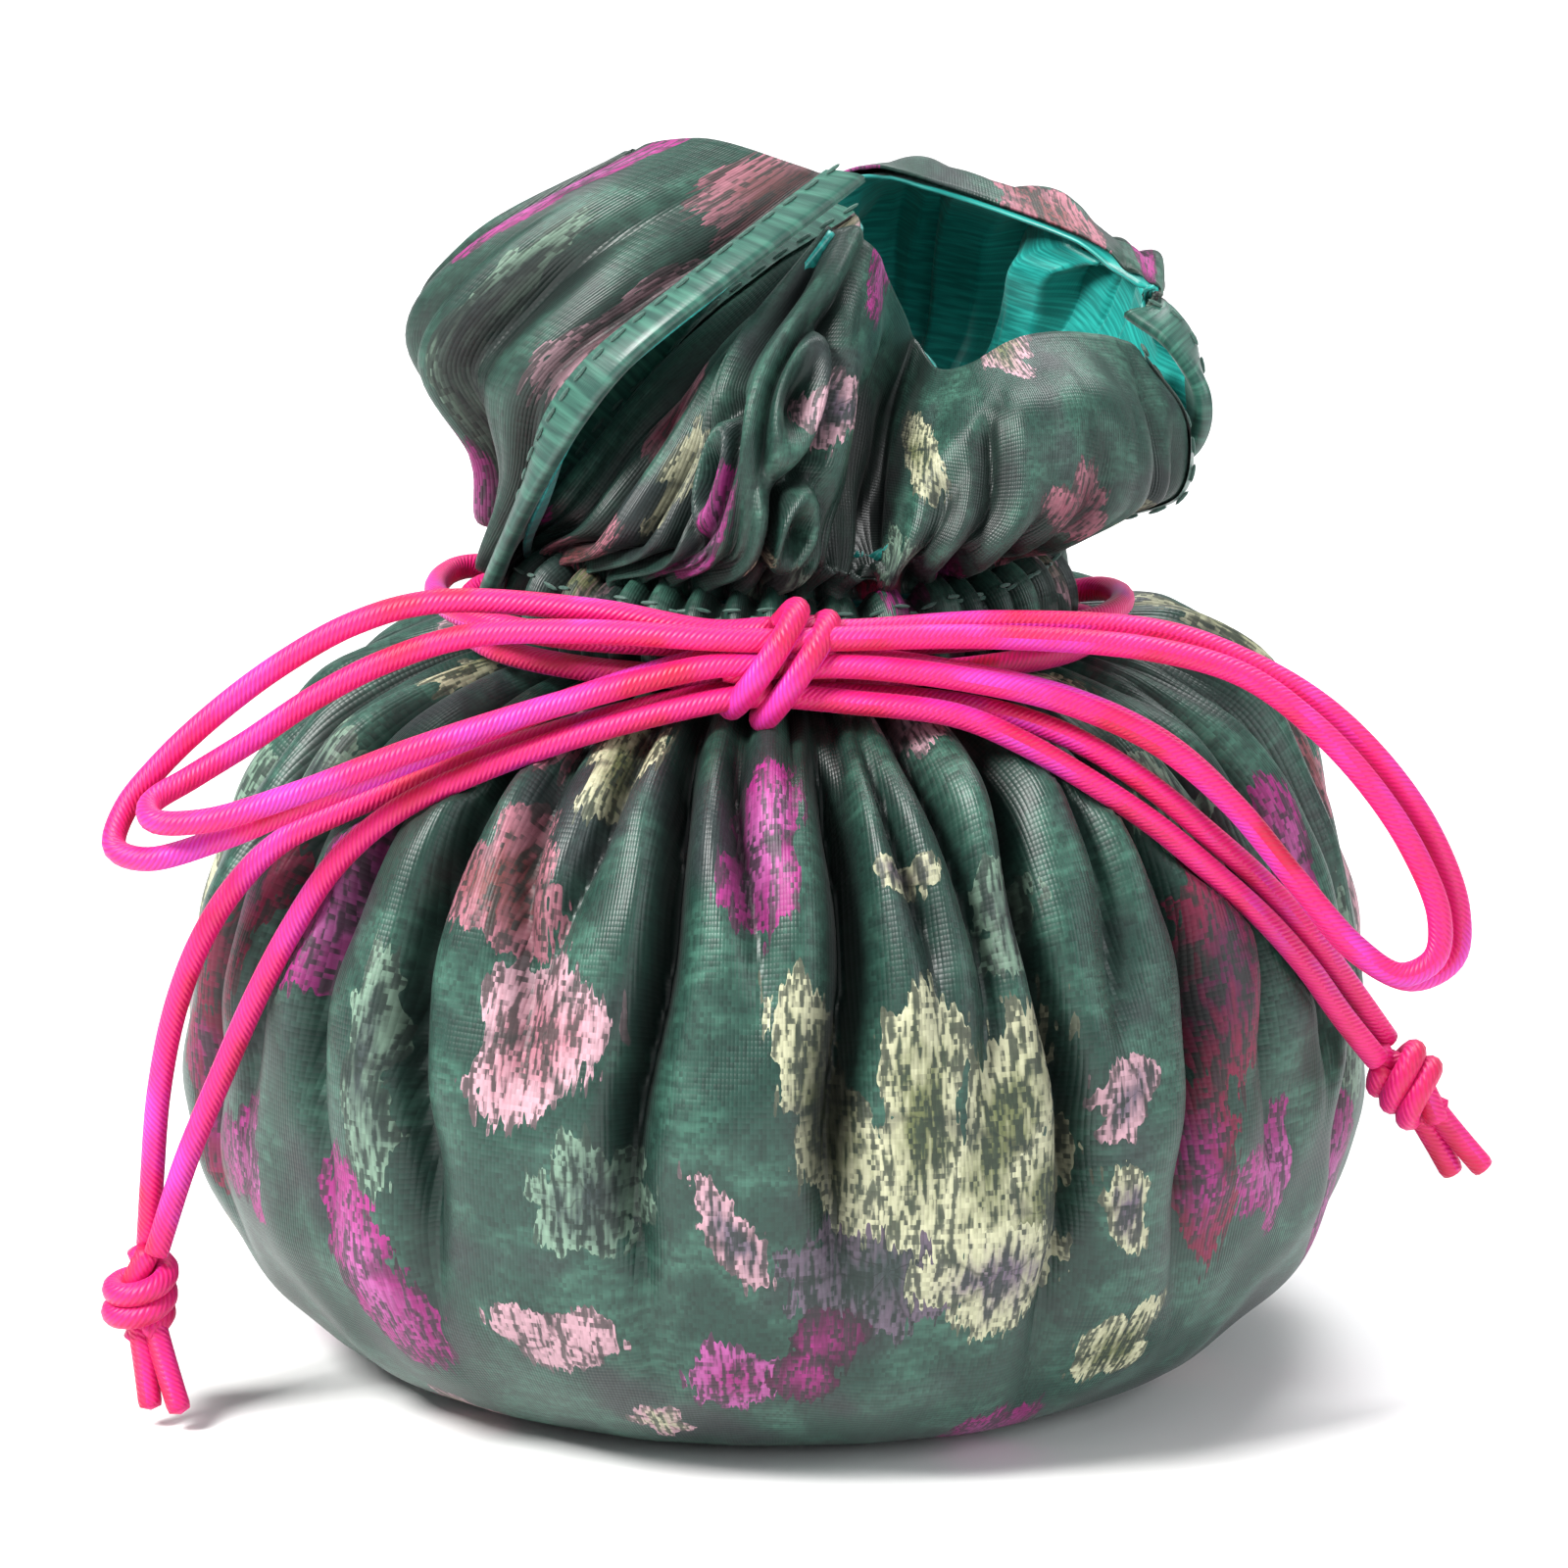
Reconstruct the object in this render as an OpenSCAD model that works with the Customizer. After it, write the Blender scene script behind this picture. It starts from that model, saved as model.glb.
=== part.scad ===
// Fabric gift sack: a plump round pouch gathered at a neck casing, with a loose heading above it
// and two doubled drawcords tied in one bow at the front.
// Millimetres. Origin: centre of the base, on the surface it stands on. +Z up, the bow faces -Y.

/* [Sack] */
// Widest radius of the filled sack
sack_r = 52; // [46:0.5:58]
// Radius of the flat round base
base_r = 32; // [28:0.5:36]
// Height of the widest place
belly_z = 25; // [20:0.5:30]
// Height where the shoulder meets the neck
neck_z = 66; // [60:0.5:72]

/* [Cloth] */
// Thickness of the outer cloth
cloth_t = 0.8; // [0.6:0.1:0.8]
// Thickness of the lining
lining_t = 0.6; // [0.4:0.1:0.6]
// Thickness of the seam allowances between the two layers
allowance_t = 0.5; // [0.3:0.1:0.5]

/* [Neck casing] */
// Outer radius of the casing
casing_r = 25.2; // [25:0.1:25.6]
// Inner radius of the casing
casing_inner_r = 20.8; // [20.6:0.1:21]
// Height of the casing
casing_h = 7.7; // [7.5:0.1:7.9]
// Half of the angle left open at each side slit
slit_half_angle = 9; // [8:0.5:12]

/* [Heading] */
// Height of the heading above the casing
heading_h = 33; // [26:0.5:36]
// Radius of the heading where it leaves the casing
heading_root_r = 23.6; // [23.4:0.1:24]
// How far the heading flares beyond its root
heading_flare = 12.4; // [8:0.2:14]

/* [Cord] */
// Diameter of the satin cord
cord_d = 2.2; // [1.8:0.1:2.2]
// Radius of the bow knot
knot_r = 5.2; // [4.8:0.1:5.2]
// Height of the bow knot
knot_h = 9.2; // [8.4:0.1:9.2]
// Radius of each end knot
end_knot_r = 3.5; // [3:0.1:3.8]

/* [Hidden] */

$fn = 96;
cloth_green = [0.12, 0.30, 0.27];
lining_teal = [0.10, 0.55, 0.52];
cord_pink = [0.88, 0.14, 0.50];

arc_steps = 12;                      // straight pieces in each quarter of the sack's outline
shoulder_r = 24;                     // where the shoulder turns level, at the neck
gap = 0.1;                           // between layers that lie on each other
allowance_in = cloth_t + gap;        // depth of the seam allowances below the outer surface
lining_in = allowance_in + allowance_t + 0.2;
half_gap_deg = 0.25;                 // half the line between the front and back halves
heading_gap_deg = 1;                 // half the slit between the two heading flaps

casing_z = neck_z + gap;
casing_wall = 0.8;
channel_r = (casing_r + casing_inner_r) / 2;
low_cord_z = casing_z + casing_wall + cord_d / 2 + 0.25;
high_cord_z = casing_z + casing_h - casing_wall - cord_d / 2 - 0.25;
cord_exit_deg = 6;                   // angle at which a drawcord turns out of its slit
stitch_r = 0.2;
heading_z = casing_z + casing_h + 1.4;
neck_lining_r = casing_inner_r - 0.2;

knot_y = -31;
knot_z = casing_z + 0.1;

// Outline of a layer that lies `inset` below the outer surface, from the base edge to the neck.
function sack_line(inset) = concat(
    [for (i = [0 : arc_steps]) let (a = 90 * i / arc_steps)
        [base_r + (sack_r - base_r - inset) * sin(a), belly_z - (belly_z - inset) * cos(a)]],
    [for (i = [1 : arc_steps]) let (a = 90 * i / arc_steps)
        [shoulder_r + (sack_r - shoulder_r - inset) * cos(a), belly_z + (neck_z - belly_z - inset) * sin(a)]]
);

// Outline of a heading layer that lies `inset` inside the outer one, from its root to its lip.
function heading_line(inset) = [
    for (i = [0 : arc_steps]) let (u = i / arc_steps)
        [heading_root_r - inset + heading_flare * sin(140 * pow(u, 1.2)), heading_z + heading_h * u]
];

function reversed(list) = [for (i = [len(list) - 1 : -1 : 0]) list[i]];

// Part of a turned ring of the given half section, from angle `from_deg` over `sweep_deg`.
module sector(from_deg, sweep_deg) {
    rotate([0, 0, from_deg])
        rotate_extrude(angle = sweep_deg)
            children();
}

// A thin layer between two outlines.
module layer(outer, inner) {
    polygon(concat(outer, reversed(inner)));
}

module front_half(half_deg = half_gap_deg) {
    sector(180 + half_deg, 180 - 2 * half_deg) children();
}

module back_half(half_deg = half_gap_deg) {
    sector(half_deg, 180 - 2 * half_deg) children();
}

// ---- Cord sweeping -------------------------------------------------------------------------

sides = 8;

function unit(v) = v / norm(v);

// Direction of travel at point i of a route.
function heading_at(route, i) =
    i == 0 ? unit(route[1] - route[0])
    : i == len(route) - 1 ? unit(route[i] - route[i - 1])
    : unit(unit(route[i] - route[i - 1]) + unit(route[i + 1] - route[i]));

// Side vector carried along the route without twisting: the last one, made square to the new heading.
function carried(side, dir) = unit(side - (side * dir) * dir);

function side_vectors(route, i = 0, last = [0, 1, 0.02]) =
    i == len(route) ? []
    : let (now = carried(last, heading_at(route, i)))
        concat([now], side_vectors(route, i + 1, now));

// One ring of points round point i.
function ring(route, frames, i, r) =
    let (dir = heading_at(route, i), a = frames[i], b = cross(dir, a))
    [for (k = [0 : sides - 1]) route[i] + r * (cos(360 * k / sides) * a + sin(360 * k / sides) * b)];

module cord(route) {
    frames = side_vectors(route);
    last = len(route) - 1;
    points = [for (i = [0 : last]) each ring(route, frames, i, cord_d / 2)];
    walls = [for (i = [0 : last - 1], k = [0 : sides - 1])
        let (n = (k + 1) % sides)
        [i * sides + k, (i + 1) * sides + k, (i + 1) * sides + n, i * sides + n]];
    start_cap = [[for (k = [0 : sides - 1]) k]];
    end_cap = [[for (k = [sides - 1 : -1 : 0]) last * sides + k]];
    polyhedron(points = points, faces = concat(start_cap, walls, end_cap), convexity = 6);
}

// ---- Cord routes, from where each leaves its slit or the bow knot ---------------------------

right_lead_high = [[23, 2.3, 68.4], [28.2, 1.2, 69.6], [30.5, -6, 70.6], [28, -16, 71.2], [19, -24, 71.6],
    [5, -27.5, 71.6]];
right_lead_low = [[23, -2.3, 68.4], [27, -2.6, 68], [28.2, -7.5, 67.9], [25.5, -15, 68], [18, -21.5, 68.2],
    [5, -27, 68.4]];
left_lead_high = [[-23, 2.3, 71.4], [-28.2, 1.2, 71.6], [-30.5, -6, 71.6], [-28, -16, 71.6], [-19, -24, 71.6],
    [-5, -27.5, 71.6]];
left_lead_low = [[-23, -2.3, 71.4], [-26.8, -2.5, 70.6], [-28, -7.5, 69], [-25.5, -15, 68.4], [-18, -21.5, 68.2],
    [-5, -27, 68.4]];

left_loop_back = [[-5.8, -30, 73.6], [-16, -28.2, 75], [-30, -26.5, 75.4], [-37, -26, 73.4], [-43.5, -25.5, 69.6],
    [-49.5, -25.5, 65], [-54.2, -26, 60.6], [-57.4, -27.4, 56.8], [-58.2, -29.7, 54], [-55.4, -31.4, 53.4],
    [-48.5, -31.5, 55.4], [-41, -31.2, 58.6], [-31, -30.8, 62.7], [-18, -30.4, 67.6], [-5.8, -30.2, 71.2]];
left_loop_front = [[-5.8, -32.6, 73.6], [-17, -30.8, 73.8], [-27, -28.8, 72.9], [-34.5, -27.4, 70.2],
    [-41, -26.8, 66.6], [-46.5, -26.8, 62.8], [-51.5, -27.6, 59.8], [-55, -29.8, 58], [-54.6, -32.6, 57.2],
    [-50, -34, 57.6], [-42, -33.8, 60], [-32, -33.4, 63.8], [-18, -33, 68.2], [-5.8, -32.8, 71.2]];
right_loop_back = [[5.8, -30, 73.6], [19, -28.4, 74], [33.5, -27.2, 72.8], [41, -26.8, 70], [47.5, -26.6, 66],
    [53, -26.8, 60.6], [57.2, -27.2, 54.4], [59.6, -27.8, 47.8], [59.2, -28.6, 43.6], [55.6, -29, 41.8],
    [50.4, -29.2, 44.6], [45.6, -29, 50.4], [40, -29, 57.4], [33.8, -29.2, 63.2], [26, -29.6, 67.2],
    [16, -30, 69.8], [5.8, -30.2, 71.2]];
right_loop_front = [[5.8, -32.6, 73.6], [19, -31.2, 73.4], [33, -30.4, 72], [40.5, -29.8, 69.6],
    [46.5, -29.6, 65.2], [51.4, -29.8, 60], [55.4, -30.2, 54], [57.8, -30.8, 48], [57.4, -31.4, 44.4],
    [54.4, -31.8, 43], [50.4, -31.8, 45.6], [45, -31.6, 51.8], [39.4, -31.6, 58.6], [33, -31.8, 64],
    [25, -32.2, 67.8], [16, -32.6, 70], [5.8, -32.8, 71.2]];

left_tail_back = [[-5.8, -30.4, 68], [-18, -29.5, 64.8], [-31, -28, 59.9], [-38.5, -26.6, 56.4],
    [-44, -25.3, 53.2], [-47.8, -24.6, 49.2], [-51, -24.2, 44], [-53.4, -24, 37.5], [-54.9, -24, 30],
    [-55.6, -24, 22], [-56, -24, 16]];
left_tail_front = [[-5.8, -32.8, 68], [-17, -32.3, 65], [-28, -31.3, 60.6], [-34, -30.6, 57.2], [-39, -29.8, 52.4],
    [-42.8, -29, 46.4], [-46, -28, 40], [-49.2, -27.2, 32.5], [-52.4, -26.7, 24.6], [-55.2, -26.3, 15.8]];
right_tail_back = [[5.8, -30.4, 68], [17, -30.5, 66.9], [25, -30.5, 64.4], [31.8, -30, 60.1], [37.6, -28.5, 54.9],
    [42.6, -26, 49.7], [46.7, -23.5, 44.5], [50.2, -20.5, 39.1], [54, -17.3, 32.9]];
right_tail_front = [[5.8, -32.8, 68], [15.5, -33, 66.8], [21.2, -32.8, 64.3], [27, -32.2, 60.7], [32.7, -31, 56.5],
    [37.6, -29.5, 52], [42.5, -27.5, 47], [46.5, -25, 41.8], [49.7, -22.6, 36.7], [53, -20.2, 31.9]];

left_knot_at = [-56.6, -25.1, 11.6];
left_ends_at = [-55.4, -26.8, 4.3];
right_knot_at = [55.8, -18.4, 29.2];
right_ends_at = [59.8, -17.2, 23.4];

// ---- Sack ----------------------------------------------------------------------------------

module sack_shell() layer(sack_line(0), sack_line(cloth_t));

module front_panel() {
    color(cloth_green) front_half() sack_shell();
}

module back_panel() {
    color(cloth_green) back_half() sack_shell();
}

module base_panel() {
    color(cloth_green) cylinder(h = cloth_t, r = base_r - gap);
}

// Turned-in edges where the side panels are sewn to the base.
module base_seam() {
    color(cloth_green)
        translate([0, 0, allowance_in])
            difference() {
                cylinder(h = allowance_t, r = base_r - 0.4);
                translate([0, 0, -1]) cylinder(h = allowance_t + 2, r = base_r - 4);
            }
}

// Turned-in edges of the front and back panels, pressed open behind a side seam.
module side_seam(at_deg) {
    half_width_deg = 2;
    color(cloth_green)
        sector(at_deg - half_width_deg, 2 * half_width_deg)
            layer(sack_line(allowance_in), sack_line(allowance_in + allowance_t));
}

module left_side_seam() side_seam(180);

module right_side_seam() side_seam(0);

// The lining's side wall, carried up through the neck to the top of the casing.
module lining_section() {
    outer = sack_line(lining_in);
    inner = sack_line(lining_in + lining_t);
    top = casing_z + casing_h + 0.6;
    shoulder_z = neck_z - lining_in;
    layer(
        concat(outer, [[neck_lining_r, shoulder_z], [neck_lining_r, top]]),
        concat(inner, [[neck_lining_r - lining_t, shoulder_z - lining_t], [neck_lining_r - lining_t, top]])
    );
}

module lining_front() {
    color(lining_teal) front_half() lining_section();
}

module lining_back() {
    color(lining_teal) back_half() lining_section();
}

module lining_base() {
    color(lining_teal) translate([0, 0, lining_in]) cylinder(h = lining_t, r = base_r - gap);
}

// ---- Neck casing ---------------------------------------------------------------------------

// A flat tube round the neck, with a channel for the two drawcords.
module casing_section() {
    difference() {
        translate([casing_inner_r, casing_z])
            square([casing_r - casing_inner_r, casing_h]);
        translate([casing_inner_r + casing_wall, casing_z + casing_wall])
            square([casing_r - casing_inner_r - 2 * casing_wall, casing_h - 2 * casing_wall]);
    }
}

module casing_front() {
    color(cloth_green) front_half(slit_half_angle) casing_section();
}

module casing_back() {
    color(cloth_green) back_half(slit_half_angle) casing_section();
}

// A row of thread on the outside of the casing, broken at the side slits.
module stitch_row(z) {
    for (start = [0, 180])
        color(cloth_green)
            sector(start + slit_half_angle + 1, 178 - 2 * slit_half_angle)
                translate([casing_r + stitch_r, z]) circle(r = stitch_r, $fn = 16);
}

module casing_stitch_upper() stitch_row(casing_z + casing_h - 0.5);

module casing_stitch_lower() stitch_row(casing_z + 0.6);

// One drawcord where it lies in the channel: right round the neck, both ends at one slit.
module drawcord(slit_deg, z) {
    color(cord_pink)
        sector(slit_deg + cord_exit_deg, 360 - 2 * cord_exit_deg)
            translate([channel_r, z]) circle(d = cord_d, $fn = 24);
}

module left_drawcord() drawcord(180, high_cord_z);

module right_drawcord() drawcord(0, low_cord_z);

// ---- Heading -------------------------------------------------------------------------------

module heading_outer() layer(heading_line(0), heading_line(cloth_t));

module heading_inner() {
    top_inset = cloth_t + gap;
    layer(heading_line(top_inset), heading_line(top_inset + lining_t));
}

module heading_front() {
    color(cloth_green) front_half(heading_gap_deg) heading_outer();
}

module heading_back() {
    color(cloth_green) back_half(heading_gap_deg) heading_outer();
}

module heading_lining_front() {
    color(lining_teal) front_half(heading_gap_deg) heading_inner();
}

module heading_lining_back() {
    color(lining_teal) back_half(heading_gap_deg) heading_inner();
}

// ---- Bow -----------------------------------------------------------------------------------

// The bow knot, round about its upright axis so that loops and tails swing round it.
module bow_knot() {
    shoulder = 1.6;
    color(cord_pink)
        translate([0, knot_y, knot_z])
            rotate_extrude()
                polygon([[0, 0], [knot_r - shoulder, 0], [knot_r, shoulder],
                    [knot_r, knot_h - shoulder], [knot_r - shoulder, knot_h], [0, knot_h]]);
}

module left_lead() {
    color(cord_pink) {
        cord(left_lead_high);
        cord(left_lead_low);
    }
}

module right_lead() {
    color(cord_pink) {
        cord(right_lead_high);
        cord(right_lead_low);
    }
}

module left_loop_front_strand() color(cord_pink) cord(left_loop_front);

module left_loop_back_strand() color(cord_pink) cord(left_loop_back);

module right_loop_front_strand() color(cord_pink) cord(right_loop_front);

module right_loop_back_strand() color(cord_pink) cord(right_loop_back);

module left_tail_front_strand() color(cord_pink) cord(left_tail_front);

module left_tail_back_strand() color(cord_pink) cord(left_tail_back);

module right_tail_front_strand() color(cord_pink) cord(right_tail_front);

module right_tail_back_strand() color(cord_pink) cord(right_tail_back);

// An overhand knot that joins both strands of a tail.
module end_knot(at, tilt) {
    body_l = 3;
    color(cord_pink)
        translate(at)
            rotate(tilt) {
                cylinder(h = body_l, r = end_knot_r, center = true);
                for (end = [-1, 1])
                    translate([0, 0, end * body_l / 2]) sphere(r = end_knot_r);
            }
}

// The two cut ends past an end knot, side by side and turned about their own length by `turn_deg`.
module cord_ends(at, tilt, turn_deg) {
    end_l = 6.6;
    color(cord_pink)
        translate(at)
            rotate(tilt)
                for (side = [-1, 1])
                    rotate([0, 0, turn_deg])
                        translate([side * (cord_d / 2 + 0.1), 0, 0])
                            cylinder(h = end_l, d = cord_d, center = true);
}

module left_end_knot() end_knot(left_knot_at, [0, 0, 0]);

module left_cord_ends() cord_ends(left_ends_at, [-22, -19, 0], 60);

module right_end_knot() end_knot(right_knot_at, [0, 135, 0]);

module right_cord_ends() cord_ends(right_ends_at, [0, 152, 0], 25);

// ---- Assembly ------------------------------------------------------------------------------

front_panel();
back_panel();
base_panel();
base_seam();
left_side_seam();
right_side_seam();
lining_front();
lining_back();
lining_base();
casing_front();
casing_back();
casing_stitch_upper();
casing_stitch_lower();
left_drawcord();
right_drawcord();
heading_front();
heading_back();
heading_lining_front();
heading_lining_back();
bow_knot();
left_lead();
right_lead();
left_loop_front_strand();
left_loop_back_strand();
right_loop_front_strand();
right_loop_back_strand();
left_tail_front_strand();
left_tail_back_strand();
left_end_knot();
left_cord_ends();
right_tail_front_strand();
right_tail_back_strand();
right_end_knot();
right_cord_ends();
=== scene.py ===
"""Dresses a fabric gift sack: gathered brocade, a satin lining, a loose heading and a bow of satin cord."""
import logging
import math
from dataclasses import dataclass, field
from enum import Enum

import bmesh
import bpy
import numpy as np
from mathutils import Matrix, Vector
from mathutils.kdtree import KDTree


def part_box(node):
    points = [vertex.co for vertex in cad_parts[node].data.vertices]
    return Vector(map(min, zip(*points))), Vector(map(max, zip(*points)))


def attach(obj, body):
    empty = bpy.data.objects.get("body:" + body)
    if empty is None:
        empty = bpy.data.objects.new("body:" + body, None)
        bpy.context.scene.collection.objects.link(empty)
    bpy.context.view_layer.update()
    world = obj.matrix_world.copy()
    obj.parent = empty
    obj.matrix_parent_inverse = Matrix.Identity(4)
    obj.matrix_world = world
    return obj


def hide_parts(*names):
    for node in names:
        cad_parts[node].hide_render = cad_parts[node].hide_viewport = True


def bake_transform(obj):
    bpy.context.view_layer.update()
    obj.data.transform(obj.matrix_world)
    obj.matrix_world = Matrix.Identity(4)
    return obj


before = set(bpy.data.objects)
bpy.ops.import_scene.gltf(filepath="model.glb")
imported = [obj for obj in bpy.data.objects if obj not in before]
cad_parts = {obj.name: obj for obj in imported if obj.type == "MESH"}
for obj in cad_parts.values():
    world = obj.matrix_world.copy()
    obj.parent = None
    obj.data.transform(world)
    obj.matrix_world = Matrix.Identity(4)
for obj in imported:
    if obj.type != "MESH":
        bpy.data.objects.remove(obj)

LOG = logging.getLogger("gift_sack")
MM = 0.001
CLOTH_UNIT = 0.01  # one mm of flat cloth in the UV maps, whose unit is 0.1 m
CLOTH_THICKNESS = 0.3 * MM
FLAT_GIRTH = 314.0  # mm of flat cloth that goes once round the sack
CORD_D = 2.2 * MM
CLOTH_UV = "cloth"
CORD_UV = "cord"
# Name of the attribute that holds painted shade for the folds: how far into one each point lies.
CREASE_SHADE_ATTR = "crease_shade"
Point = tuple[float, float, float]
Colour = tuple[float, float, float]


class Layer(Enum):
    """Which layer of the sack a cloth piece belongs to, by its depth below the outer surface in mm."""

    OUTER = 0.0
    LINING = 1.7


class FarEnd(Enum):
    """What a strand of the bow ends in."""

    KNOT = "knot"
    OBJECT = "object"


# ---------------------------------------------------------------------------------------------
# Mesh helpers
# ---------------------------------------------------------------------------------------------


def link_mesh(name: str, vertices: list, faces: list) -> bpy.types.Object:
    """Makes a smooth-shaded mesh object in the scene.

    Args:
        name: The piece's name.
        vertices: Places in metres.
        faces: Rings of vertex numbers, turned outwards.

    Returns:
        The new object, at the origin.
    """
    mesh = bpy.data.meshes.new(name)
    mesh.from_pydata([tuple(v) for v in vertices], [], faces)
    mesh.polygons.foreach_set("use_smooth", [True] * len(mesh.polygons))
    mesh.update()
    piece = bpy.data.objects.new(name, mesh)
    bpy.context.scene.collection.objects.link(piece)
    return piece


def set_uv(piece: bpy.types.Object, layer_name: str, coords: np.ndarray) -> None:
    """Stores one UV pair for each face corner.

    Args:
        piece: The piece to mark.
        layer_name: The UV map's name.
        coords: One pair for each loop of the mesh.
    """
    layer = piece.data.uv_layers.new(name=layer_name)
    layer.data.foreach_set("uv", np.asarray(coords, float).ravel())


def grid_cloth(name: str, places: np.ndarray, cloth: np.ndarray, flip: bool = False,
               crease_shade: np.ndarray | None = None) -> bpy.types.Object:
    """Makes a sheet from a grid of points.

    Args:
        name: The piece's name.
        places: Points in metres, rows by columns by 3.
        cloth: Flat position on the cloth for each point, in units of 0.1 m.
        flip: Turns the faces over.
        crease_shade: How far into a fold each point lies, from 0 to 1, stored as painted shade for the
            brocade's colour.

    Returns:
        The sheet, with its flat positions in the cloth UV map.
    """
    rows, columns = places.shape[:2]
    number = np.arange(rows * columns).reshape(rows, columns)
    corners = [number[:-1, :-1], number[:-1, 1:], number[1:, 1:], number[1:, :-1]]
    quads = np.stack([c.ravel() for c in corners], axis=1)
    if flip:
        quads = quads[:, ::-1]
    piece = link_mesh(name, places.reshape(-1, 3).tolist(), quads.tolist())
    set_uv(piece, CLOTH_UV, cloth.reshape(-1, 2)[quads.ravel()])
    if crease_shade is not None:
        layer = piece.data.attributes.new(CREASE_SHADE_ATTR, "FLOAT", "POINT")
        layer.data.foreach_set("value", np.clip(crease_shade, 0.0, 1.0).ravel().astype(float))
    return piece


def add_thickness(piece: bpy.types.Object) -> None:
    """Gives a sheet the cloth's real thickness, on its inner side.

    Args:
        piece: The sheet.
    """
    solid = piece.modifiers.new("cloth_thickness", "SOLIDIFY")
    solid.thickness = CLOTH_THICKNESS
    solid.offset = -1.0
    solid.use_even_offset = False


def smooth_through(points: np.ndarray, per_span: int) -> np.ndarray:
    """Runs a smooth curve through points (centripetal Catmull-Rom).

    Args:
        points: The points, one row each.
        per_span: Samples on each span.

    Returns:
        The samples, with the last point included.
    """
    ends = np.vstack([2 * points[0] - points[1], points, 2 * points[-1] - points[-2]])
    samples = []
    for i in range(1, len(ends) - 2):
        p0, p1, p2, p3 = ends[i - 1 : i + 3]
        spans = ((p0, p1), (p1, p2), (p2, p3))
        knots = np.cumsum([0.0] + [max(np.linalg.norm(b - a), 1e-9) ** 0.5 for a, b in spans])
        t = np.linspace(knots[1], knots[2], per_span, endpoint=False)[:, None]
        a1 = (knots[1] - t) / knots[1] * p0 + t / knots[1] * p1
        a2 = (knots[2] - t) / (knots[2] - knots[1]) * p1 + (t - knots[1]) / (knots[2] - knots[1]) * p2
        a3 = (knots[3] - t) / (knots[3] - knots[2]) * p2 + (t - knots[2]) / (knots[3] - knots[2]) * p3
        b1 = (knots[2] - t) / knots[2] * a1 + t / knots[2] * a2
        b2 = (knots[3] - t) / (knots[3] - knots[1]) * a2 + (t - knots[1]) / (knots[3] - knots[1]) * a3
        gap = knots[2] - knots[1]
        samples.append((knots[2] - t) / gap * b1 + (t - knots[1]) / gap * b2)
    samples.append(points[-1][None, :])
    return np.vstack(samples)


def even_steps(path: np.ndarray, step: float) -> np.ndarray:
    """Spaces the points of a path evenly.

    Args:
        path: Points along the path.
        step: Wanted spacing, in the path's units.

    Returns:
        Points about one step apart, ends kept.
    """
    lengths = np.concatenate([[0.0], np.cumsum(np.linalg.norm(np.diff(path, axis=0), axis=1))])
    wanted = np.linspace(0.0, lengths[-1], max(4, int(round(lengths[-1] / step)) + 1))
    return np.stack([np.interp(wanted, lengths, path[:, k]) for k in range(path.shape[1])], axis=1)


def path_length(path: np.ndarray) -> float:
    """Returns the length of a path."""
    return float(np.linalg.norm(np.diff(path, axis=0), axis=1).sum())


# ---------------------------------------------------------------------------------------------
# Camera, light and floor
# ---------------------------------------------------------------------------------------------


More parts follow.
